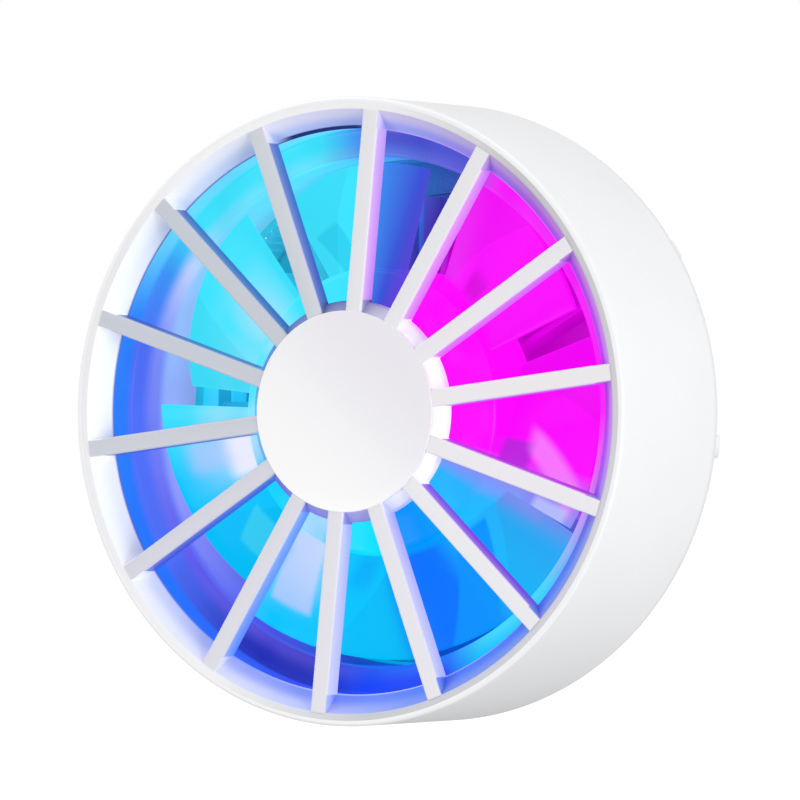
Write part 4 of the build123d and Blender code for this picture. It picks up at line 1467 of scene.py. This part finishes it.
@dataclass
class Drum(Assembly):
    """Outer shell: turned wall with a thin front lip, rear claws, and inside it posts, ribs and ledges."""

    front: float
    rear: float
    radius: float = 32.0
    wall: float = 1.6
    lip_wall: float = 0.6
    lip_depth: float = 2.2
    front_round: float = 0.45
    bevel_depth: float = 1.2
    bevel_width: float = 0.35
    bevel_round: float = 0.5
    rear_round: float = 0.15
    inner_round: float = 0.1
    seam_round: float = 0.02
    wall_steps: int = 256
    claws: int = 9
    first_claw: float = 33.5
    claw_inner: float = 28.45
    claw_outer: float = 30.7
    claw_width: float = 2.4
    claw_reach: float = 3.2
    claw_root: float = 1.4
    claw_round: float = 0.3
    posts: int = 3
    first_post: float = 0.0
    post_place: float = 28.6
    post_radius: float = 1.7
    post_hole: float = 0.8
    post_web: float = 2.4
    post_rear: float = 7.2
    post_front: float = 11.8
    post_steps: int = 24
    ribs: int = 6
    first_rib: float = 43.5
    rib_width: float = 1.2
    rib_height: float = 1.4
    rib_rear: float = 8.2
    rib_front: float = 17.2
    ledge_place: float = 15.0
    ledge_radius: float = 26.25
    ledge_width: float = 3.0
    ledge_length: float = 4.0
    ledge_rear: float = 6.4
    ledge_front: float = 7.4
    socket_width: float = 9.24
    socket_height: float = 3.5
    socket_round: float = 1.5
    socket_steps: int = 8
    socket_level: float = 9.8
    merge: float = 0.3
    overrun: float = 1.0

    def wall_shape(self) -> bpy.types.Mesh:
        """Turned wall.

        Returns:
            The mesh.
        """
        inner = self.radius - self.wall
        return Shape().revolve(softened([
            (inner, self.rear, self.inner_round),
            (self.radius - self.bevel_width, self.rear, self.rear_round),
            (self.radius, self.rear + self.bevel_depth, self.bevel_round),
            (self.radius, self.front, self.front_round),
            (self.radius - self.lip_wall, self.front, self.seam_round),
            (self.radius - self.lip_wall, self.front - self.lip_depth, 0.0),
            (inner, self.front - self.lip_depth, self.inner_round),
        ]), self.wall_steps).mesh("wall")

    def socket_cutter(self) -> bpy.types.Mesh:
        """Rounded prism through the wall at the socket.

        Returns:
            The mesh.
        """
        tall = self.socket_height / 2
        section = slab(self.socket_width / 2, self.socket_level - tall, self.socket_level + tall,
                       self.socket_round, self.socket_round, self.socket_steps)
        places = (self.radius - self.wall - self.overrun, self.radius + self.overrun)
        return Shape().skin([[at(-place, depth, across) for across, depth in section]
                             for place in places]).mesh("cutter")

    def post(self) -> bpy.types.Mesh:
        """Screw post along +X with the web that joins it to the wall.

        Returns:
            The mesh.
        """
        centre = at(self.post_place, 0, 0)

        def circle(radius: float, depth: float) -> List[Vector]:
            """Points of a circle about the post's own axis."""
            return [place_of(radius, FULL_TURN * i / self.post_steps, depth) + centre
                    for i in range(self.post_steps)]
        shape = Shape().skin([
            circle(self.post_hole, self.post_rear), circle(self.post_radius, self.post_rear),
            circle(self.post_radius, self.post_front), circle(self.post_hole, self.post_front)], ring=True)
        inner = self.post_place + self.post_radius - self.merge
        shape.join(rounded_bar(inner, self.radius - self.wall + self.merge, self.post_web,
                               self.post_rear, self.post_front))
        return shape.mesh("post")

    def cut_wall(self) -> bpy.types.Mesh:
        """Wall with the socket's opening.

        Returns:
            The mesh.
        """
        carrier = linked("wall", self.wall_shape())
        cutter = linked("cutter", self.socket_cutter())
        cut = carrier.modifiers.new("cut", "BOOLEAN")
        cut.operation = "DIFFERENCE"
        cut.object = cutter
        cut.solver = "EXACT"
        mesh = plain_mesh(carrier)
        for each in (carrier, cutter):
            bpy.data.objects.remove(each)
        return mesh

    def build(self) -> None:
        """Makes the drum in place of its node."""
        wall = self.radius - self.wall
        web = wall + self.merge
        claw = Shape()
        claw.join(rounded_bar(self.claw_inner, self.claw_outer, self.claw_width, self.rear - self.claw_reach,
                              self.rear + self.merge, self.claw_round, True))
        claw.join(rounded_bar(self.claw_inner, web, self.claw_width, self.rear, self.rear + self.claw_root))
        rib = rounded_bar(wall - self.rib_height, web, self.rib_width, self.rib_rear, self.rib_front)
        ledge = rounded_bar(wall - self.ledge_length, web, self.ledge_width, self.ledge_rear,
                            self.ledge_front)
        ledge_turn = math.degrees(self.ledge_place / self.ledge_radius)
        ledge_step = {"angle_step": math.radians(2 * ledge_turn)}
        shape = Shape().join(self.cut_wall())
        for mesh, count, angle, extra in (
                (claw.mesh("claw"), self.claws, self.first_claw, {}),
                (self.post(), self.posts, self.first_post, {}),
                (rib, self.ribs, self.first_rib, {}),
                (ledge, 2, FULL_TURN / 2 - ledge_turn, ledge_step)):
            shape.join(self.shop.repeat(mesh, "white_shell_plastic", count, angle, **extra))
        self.shop.fit("drum", shape.mesh("drum"), "white_shell_plastic", "drum_shell")


@dataclass
class VentVanes(Assembly):
    """Comb of thin vanes that stands on the rear cover's rim and reaches into the drum's rear mouth."""

    mouth: float
    gap: float = 2.2
    count: int = 180
    inner: float = 27.2
    outer: float = 28.3
    width: float = 0.64
    merge: float = 0.2
    rise: float = 1.6
    soft: float = 0.1

    def build(self) -> None:
        """Makes the vanes."""
        vane = rounded_bar(self.inner, self.outer, self.width, self.mouth - self.gap - self.merge,
                           self.mouth + self.rise, self.soft)
        shape = Shape().join(self.shop.repeat(vane, "white_shell_plastic", self.count))
        self.shop.fit("vent_vanes", shape.mesh("vent_vanes"), "white_shell_plastic")


@dataclass
class FrontGrille(Assembly):
    """Coned ring, spokes, centre boss and clip-in skirt, as one moulding."""

    front: float
    spokes: int = 14
    first_spoke: float = 84.5
    depth: float = 2.2
    ring_radius: float = 31.4
    cone_front_radius: float = 30.8
    throat_radius: float = 28.8
    ring_round: float = 0.2
    seam_round: float = 0.02
    spoke_width: float = 1.82
    spoke_round: float = 0.28
    spoke_rear_round: float = 0.12
    spoke_root: float = 9.95
    boss_radius: float = 11.3
    boss_flare_depth: float = 1.2
    cap_radius: float = 10.3
    cap_seat: float = 0.4
    spigot_radius: float = 8.1
    spigot_depth: float = 0.9
    skirt_radius: float = 30.3
    skirt_wall: float = 0.7
    skirt_depth: float = 1.6
    skirt_round: float = 0.12
    skirt_root_round: float = 0.1
    boss_round: float = 0.12
    boss_flare_round: float = 0.3
    recess_round: float = 0.06
    hooks: int = 3
    first_hook: float = 67.5
    hook_width: float = 4.0
    hook_depth: float = 0.8
    hook_reach: float = 30.8
    hook_nose_round: float = 0.2
    hook_back_round: float = 0.1
    overlap: float = 0.3

    def ring(self, shape: Shape) -> None:
        """Ring whose inner side slopes back to the throat, with the skirt behind it.

        Args:
            shape: Shape that takes the ring.
        """
        rear = self.front - self.depth
        shape.revolve(softened([
            (self.throat_radius, rear, 0.0),
            (self.skirt_radius - self.skirt_wall, rear, self.skirt_root_round),
            (self.skirt_radius - self.skirt_wall, rear - self.skirt_depth, self.skirt_round),
            (self.skirt_radius, rear - self.skirt_depth, self.skirt_round),
            (self.skirt_radius, rear, 0.0),
            (self.ring_radius, rear, self.skirt_root_round),
            (self.ring_radius, self.front, self.seam_round),
            (self.cone_front_radius, self.front, self.ring_round),
        ]))

    def boss(self, shape: Shape) -> None:
        """Flared centre boss with the recess of the cap.

        Args:
            shape: Shape that takes the boss.
        """
        rear = self.front - self.depth
        seat = self.front - self.cap_seat
        floor = seat - self.spigot_depth
        shape.revolve(softened([
            (0.0, rear, 0.0),
            (self.boss_radius, rear, self.boss_round),
            (self.boss_radius, self.front - self.boss_flare_depth, self.boss_flare_round),
            (self.cap_radius, seat, self.recess_round),
            (self.spigot_radius, seat, self.recess_round),
            (self.spigot_radius, floor, self.recess_round),
            (0.0, floor, 0.0),
        ]))

    def spoke(self) -> bpy.types.Mesh:
        """One spoke along +X, with rounded edges and an end that follows the ring.

        Returns:
            The mesh.
        """
        section = slab(self.spoke_width / 2, self.front - self.depth, self.front, self.spoke_rear_round,
                       self.spoke_round)
        inner = [at(self.spoke_root, depth, across) for across, depth in section]
        outer = [at(math.sqrt(self.cone_front_radius ** 2 - across ** 2), depth, across)
                 for across, depth in section]
        return Shape().skin([inner, outer]).mesh("spoke")

    def hook(self) -> bpy.types.Mesh:
        """One catch of the skirt along +X.

        Returns:
            The mesh.
        """
        half = self.hook_width / 2
        low = self.front - self.depth - self.skirt_depth
        root = self.skirt_radius - self.overlap
        high = low + self.hook_depth
        section = softened([(root, low, 0.0), (self.hook_reach, low, self.hook_nose_round),
                            (self.hook_reach, high, self.hook_back_round), (root, high, 0.0)])
        ends = [[at(radius, depth, side * half) for radius, depth in section] for side in (-1, 1)]
        return Shape().skin(ends).mesh("hook")

    def build(self) -> None:
        """Makes the grille in place of its node."""
        slot = "white_grille_plastic"
        shape = Shape()
        self.ring(shape)
        self.boss(shape)
        shape.join(self.shop.repeat(self.spoke(), slot, self.spokes, self.first_spoke))
        shape.join(self.shop.repeat(self.hook(), slot, self.hooks, self.first_hook))
        self.shop.fit("grille", shape.mesh("grille"), slot, "front_grille")


@dataclass
class CentreCap(Assembly):
    """Low domed cap in the middle of the grille."""

    front: float
    radius: float = 10.25
    rise: float = 0.1
    crown: float = 0.15
    seat: float = 0.4
    spigot_radius: float = 8.0
    spigot_depth: float = 0.8
    edge_round: float = 0.12
    seat_round: float = 0.05
    spigot_round: float = 0.1
    dome_steps: int = 8

    def build(self) -> None:
        """Makes the cap in place of its node."""
        seat = self.front - self.seat
        rim = self.front + self.rise
        corners = [(0.0, seat - self.spigot_depth, 0.0),
                   (self.spigot_radius, seat - self.spigot_depth, self.spigot_round),
                   (self.spigot_radius, seat, self.seat_round), (self.radius, seat, self.seat_round),
                   (self.radius, rim, self.edge_round)]
        for step in range(1, self.dome_steps + 1):
            share = 1 - step / self.dome_steps
            corners.append((self.radius * share, rim + self.crown * (1 - share ** 2), 0.0))
        self.shop.fit("centre_cap", Shape().revolve(softened(corners)).mesh("centre_cap"),
                      "white_grille_plastic", "hub_cap", material=CapPlastic("white_cap_plastic").material())


@dataclass
class LightRing(Assembly):
    """Frosted light guide: collar, shelf over the lamps and duct round the blades."""

    grille_rear: float
    collar_radius: float = 29.0
    collar_outer: float = 29.5
    duct_radius: float = 26.1
    duct_outer: float = 27.1
    shelf_front: float = 21.2
    shelf_rear: float = 20.0
    duct_rear: float = 13.0
    play: float = 0.1
    mouth_round: float = 0.4
    collar_root_round: float = 0.5
    collar_lip_round: float = 0.15
    duct_lip_round: float = 0.2
    fine_round: float = 0.1

    def build(self) -> None:
        """Makes the light guide in place of its node."""
        top = self.grille_rear - self.play
        shape = Shape().revolve(softened([
            (self.duct_radius, self.shelf_front, self.mouth_round),
            (self.collar_radius, self.shelf_front, self.collar_root_round),
            (self.collar_radius, top, self.collar_lip_round),
            (self.collar_outer, top, self.fine_round),
            (self.collar_outer, self.shelf_rear, self.fine_round),
            (self.duct_outer, self.shelf_rear, self.fine_round),
            (self.duct_outer, self.duct_rear, self.fine_round),
            (self.duct_radius, self.duct_rear, self.duct_lip_round),
        ]))
        self.shop.fit("light_ring", shape.mesh("light_ring"), "frosted_light_guide", "light_guide")


@dataclass
class FanWheel(Assembly):
    """Impeller: a round hub, open behind, with seven broad cambered blades."""

    front: float
    rear: float
    tube_front: float
    blades: int = 7
    first_blade: float = 47.5
    blade_span: float = 47.0
    hub_radius: float = 14.7
    hub_wall: float = 1.1
    hub_plate: float = 1.2
    hub_round: float = 0.9
    hub_rim_round: float = 0.15
    shaft_boss_round: float = 0.1
    tip_radius: float = 25.5
    tip_round: float = 0.18
    blade_root: float = 14.3
    thickness: float = 0.8
    camber: float = 1.3
    front_drop: float = 0.8
    rear_rise: float = 0.9
    shaft_boss: float = 2.2
    shaft_radius: float = 1.0
    shaft_cover: float = 0.4
    tube_gap: float = 0.4
    chord_steps: int = 20
    span_steps: int = 8
    nose_steps: int = 6
    edge_thinning_share: float = 0.35
    tip_fullness: float = 0.35

    def hub(self, shape: Shape) -> None:
        """Round cup with the boss of the shaft inside.

        Args:
            shape: Shape that takes the hub.
        """
        inside = self.front - self.hub_plate
        inner = self.hub_radius - self.hub_wall
        boss_end = self.tube_front + self.tube_gap
        shape.revolve(softened([
            (0.0, self.front, 0.0),
            (self.hub_radius, self.front, self.hub_round),
            (self.hub_radius, self.rear, self.hub_rim_round),
            (inner, self.rear, self.hub_rim_round),
            (inner, inside, 0.0),
            (self.shaft_boss, inside, 0.0),
            (self.shaft_boss, boss_end, self.shaft_boss_round),
            (self.shaft_radius, boss_end, 0.0),
            (self.shaft_radius, self.front - self.shaft_cover, 0.0),
            (0.0, self.front - self.shaft_cover, 0.0),
        ]))

    def middle_depth(self, share: float) -> float:
        """Depth of the blade's middle surface at a share from -1, its front edge, to 1, its rear edge.

        Args:
            share: Place across the blade.

        Returns:
            The depth in millimetres.
        """
        high = self.front - self.front_drop
        low = self.rear + self.rear_rise
        middle = (high + low) / 2 + self.camber
        slope = (low + self.thickness - high) / 2
        bend = (high + low + self.thickness) / 2 - middle
        return middle + slope * share + bend * share ** 2 - self.thickness / 2

    def section(self, radius: float, fullness: float) -> List[Vector]:
        """Closed outline of the blade at one radius.

        Args:
            radius: Distance from the axis.
            fullness: Share of the full thickness there.

        Returns:
            The outline's points.
        """
        reach = math.tan(math.radians(self.blade_span / 2))
        half = self.thickness / 2 * fullness

        def point(share: float, side: float) -> Vector:
            """Point on one side of the blade at a share of its half chord.

            Args:
                share: Place across the blade, from -1 to 1.
                side: 1 for the front side, -1 for the rear side.

            Returns:
                The point.
            """
            angle = math.degrees(math.atan(share * reach))
            thin = 1 - self.edge_thinning_share * abs(share) ** 3
            return place_of(radius, angle, self.middle_depth(share) + side * half * thin)

        nose = half / (radius * reach)
        shares = [(2 * i / self.chord_steps - 1) * (1 - nose) for i in range(self.chord_steps + 1)]
        outline = [point(share, 1.0) for share in shares]
        for end, way in ((1, 1), (-1, -1)):
            for step in range(1, self.nose_steps):
                swing = math.pi * step / self.nose_steps
                outline.append(point(end * (1 - nose + nose * math.sin(swing)), way * math.cos(swing)))
            if end > 0:
                outline += [point(share, -1.0) for share in reversed(shares)]
        return outline

    def blade(self) -> bpy.types.Mesh:
        """One blade along +X.

        Returns:
            The mesh.
        """
        last = self.tip_radius - self.tip_round
        sections = [self.section(self.blade_root + (last - self.blade_root) * i / self.span_steps, 1.0)
                    for i in range(self.span_steps + 1)]
        for step in range(1, self.nose_steps):
            swing = math.pi / 2 * step / self.nose_steps
            fullness = self.tip_fullness + (1 - self.tip_fullness) * math.cos(swing)
            sections.append(self.section(last + self.tip_round * math.sin(swing), fullness))
        return Shape().skin(sections).mesh("blade")

    def build(self) -> None:
        """Makes the fan wheel in place of its node."""
        slot = "clear_blade_plastic"
        shape = Shape()
        self.hub(shape)
        shape.join(self.shop.repeat(self.blade(), slot, self.blades, self.first_blade))
        self.shop.fit("fan_wheel", shape.mesh("fan_wheel"), slot, "impeller", body=Body.ROTOR)


@dataclass
class ContactFace(Assembly):
    """Grip ring with fine ridges, and the soft film on the cold plate."""

    ring_outer: float = 27.8
    ring_inner: float = 20.6
    ring_depth: float = 0.6
    ridges: int = 5
    ridge_margin: float = 1.2
    ridge_height: float = 0.12
    film_radius: float = 20.3
    film_depth: float = 0.4
    edge: float = 0.15
    edge_steps: int = 3

    def ring(self) -> List[Point]:
        """Outline of the grip ring, with grooves between its ridges.

        Returns:
            The corners of the outline.
        """
        corners = [(self.ring_outer, self.ring_depth, 0.0), (self.ring_outer, 0.0, self.edge)]
        first = self.ring_outer - self.ridge_margin
        pitch = (first - self.ring_inner - self.ridge_margin) / self.ridges
        for index in range(self.ridges):
            start = first - index * pitch
            corners += [(start, 0.0, self.ridge_height / 2),
                        (start - pitch / 4, self.ridge_height, pitch / 8),
                        (start - pitch / 2, 0.0, self.ridge_height / 2)]
        corners += [(self.ring_inner, 0.0, self.edge), (self.ring_inner, self.ring_depth, 0.0)]
        return softened(corners, self.edge_steps)

    def film(self) -> List[Point]:
        """Outline of the film."""
        return softened([(0.0, self.film_depth, 0.0), (self.film_radius, self.film_depth, 0.0),
                         (self.film_radius, 0.0, self.edge), (0.0, 0.0, 0.0)])

    def build(self) -> None:
        """Makes ring and film in place of their nodes."""
        for name, outline, slot, node in (("grip_ring", self.ring(), "grip_silicone", "contact_pad"),
                                          ("soft_film", self.film(), "grey_film", "thermal_film")):
            self.shop.fit(name, Shape().revolve(outline).mesh(name), slot, node)


@dataclass
class SocketContacts(Assembly):
    """Two rows of gilt contacts on the tongue of the power socket."""

    tip: float
    level: float
    per_row: int = 12
    pitch: float = 0.5
    length: float = 2.2
    width: float = 0.26
    height: float = 0.05
    tongue_thickness: float = 0.7
    tip_margin: float = 0.4
    edge: float = 0.05
    edge_steps: int = 3

    def contact(self) -> bpy.types.Mesh:
        """One flat contact with rounded edges, centred on the tongue's middle plane.

        Returns:
            The mesh.
        """
        half = self.tongue_thickness / 2 + self.height
        wide = self.width / 2
        section = slab(half, -wide, wide, self.edge, self.edge, self.edge_steps)
        ends = [[Vector((along, across, beside)) * MM for across, beside in section]
                for along in (0.0, self.length)]
        return Shape().skin(ends).mesh("contact")

    def build(self) -> None:
        """Makes both rows."""
        start = at(self.tip + self.tip_margin, self.level, -self.pitch * (self.per_row - 1) / 2)
        mesh = self.shop.repeat(self.contact(), "brass", self.per_row, angle_step=0.0, start=start,
                                pitch=at(0.0, 0.0, self.pitch))
        self.shop.fit("socket_contacts", Shape().join(mesh).mesh("socket_contacts"), "brass")


@dataclass(frozen=True)
class PanelLight:
    """A square soft light that looks at the middle of the drum."""

    name: str
    spot: Tuple[float, float, float]
    side: float
    power: float
    target: Tuple[float, float, float] = (0.0, -0.014, 0.0)

    def place(self) -> None:
        """Sets the light in the scene, with places and lengths in metres and its power in watts."""
        data = bpy.data.lights.new(self.name, "AREA")
        data.shape = "SQUARE"
        data.size = self.side
        data.energy = self.power
        light = linked(self.name, data)
        light.location = self.spot
        sight = Vector(self.target) - Vector(self.spot)
        light.rotation_euler = sight.to_track_quat("-Z", "Y").to_euler()


@dataclass
class Studio:
    """Floor, lights, white surroundings and the camera at the photograph's place."""

    focal_share: float = 7000 / 800
    sensor: float = 36.0
    turn: float = -29.40
    tilt: float = 0.47
    offset: Tuple[float, float, float] = (-5.70, -1.15, -710.6)
    clip: Tuple[float, float] = (0.05, 20.0)
    ambient: float = 0.48
    floor_radius: float = 4.0
    floor_gap: float = 0.05
    floor_sides: int = 96
    floor_cloud: float = 60.0
    floor_greys: Tuple[float, float] = (0.55, 0.57)
    floor_glow: float = 0.9
    lights: Tuple[PanelLight, ...] = (
        PanelLight("key", (0.52, -0.20, -0.04), 0.30, 1.74),
        PanelLight("fill", (-0.20, -0.32, -0.14), 0.20, 0.40),
        PanelLight("top", (-0.36, -0.14, 0.44), 0.40, 1.7),
        PanelLight("above", (0.08, 0.10, 0.50), 0.30, 0.52),
    )

    def build(self) -> None:
        """Makes everything that isn't part of the object."""
        self.camera()
        self.surroundings()
        self.floor()
        for light in self.lights:
            light.place()

    def camera(self) -> None:
        """Places the camera so that the front face lies where the photograph shows it."""
        turn, tilt = math.radians(self.turn), math.radians(self.tilt)
        normal = Vector((math.sin(turn) * math.cos(tilt), math.sin(tilt), math.cos(turn) * math.cos(tilt)))
        across = Vector((0, 1, 0)).cross(normal).normalized()
        up = normal.cross(across)
        from_camera = Matrix((across, -normal, up))
        face_centre = Vector((0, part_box("front_grille")[0].y, 0))
        spot = face_centre - from_camera @ (Vector(self.offset) * MM)
        data = bpy.data.cameras.new("camera")
        data.sensor_width = self.sensor
        data.lens = self.sensor * self.focal_share
        data.clip_start, data.clip_end = self.clip
        camera = linked("camera", data)
        camera.matrix_world = Matrix.Translation(spot) @ from_camera.to_4x4()
        bpy.context.scene.camera = camera

    def surroundings(self) -> None:
        """White to the camera and dimmer as a light."""
        world = bpy.data.worlds.new("surroundings")
        world.use_nodes = True
        board = NodeBoard(world.node_tree)
        seen = Signal(board, board.add("ShaderNodeLightPath").outputs["Is Camera Ray"])
        background = board.add("ShaderNodeBackground", None, {
            "Color": (1.0, 1.0, 1.0), "Strength": seen + self.ambient * (1.0 - seen)})
        board.add("ShaderNodeOutputWorld", None, {"Surface": background.outputs[0]})
        bpy.context.scene.world = world
        bpy.context.scene.view_settings.view_transform = "Standard"
        bpy.context.scene.view_settings.look = "None"

    def floor(self) -> None:
        """Plain pale floor under the drum."""
        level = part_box("drum_shell")[0].z - self.floor_gap * MM
        mesh = bpy.data.meshes.new("floor")
        shape = bmesh.new()
        bmesh.ops.create_circle(shape, cap_ends=True, radius=self.floor_radius, segments=self.floor_sides,
                                matrix=Matrix.Translation((0, 0, level)))
        shape.to_mesh(mesh)
        shape.free()
        piece = linked("floor", mesh)
        board = SurfaceBoard("floor_paint")
        cloud = board.noise(self.floor_cloud, 2.0)
        paint = board.blend(cloud, *((grey,) * 3 for grey in self.floor_greys))
        board.surface(base_color=paint, roughness=0.9, emission_color=(1.0, 1.0, 1.0),
                      emission_strength=self.floor_glow, specular_ior_level=0.0)
        mesh.materials.append(board.material)
        piece.visible_diffuse = piece.visible_glossy = piece.visible_shadow = False


def build_pieces(shop: Workshop) -> None:
    """Builds the sub-assemblies that replace or join the CAD nodes.

    Args:
        shop: Where their materials and copies come from.
    """
    front = depth_of("front_grille")
    drum_rear = depth_of("drum_shell", False) + Drum.claw_reach
    low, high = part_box("usb_socket_tongue")
    assemblies = [
        Drum(shop, depth_of("drum_shell"), drum_rear),
        VentVanes(shop, drum_rear),
        FrontGrille(shop, front),
        CentreCap(shop, front),
        LightRing(shop, front - FrontGrille.depth),
        FanWheel(shop, depth_of("impeller"), depth_of("impeller", False), depth_of("bearing_tube")),
        ContactFace(shop),
        SocketContacts(shop, low.x / MM, -(low.y + high.y) / 2 / MM),
    ]
    assemblies += [RoundedCopy(shop, node) for node in (
        "rear_cover", "cold_plate", "heat_sink", "fan_base", "usb_socket_shell", "usb_socket_tongue")]
    for assembly in assemblies:
        LOG.info("building %s", type(assembly).__name__)
        assembly.build()


def main() -> None:
    """Builds the looks in order."""
    logging.basicConfig(level=logging.INFO, format="%(name)s: %(message)s")
    shop = Workshop()
    for node in sorted(frame["nodes"]):
        shop.dress_node(node)
    build_pieces(shop)
    Studio().build()


if __name__ == "__main__":
    main()
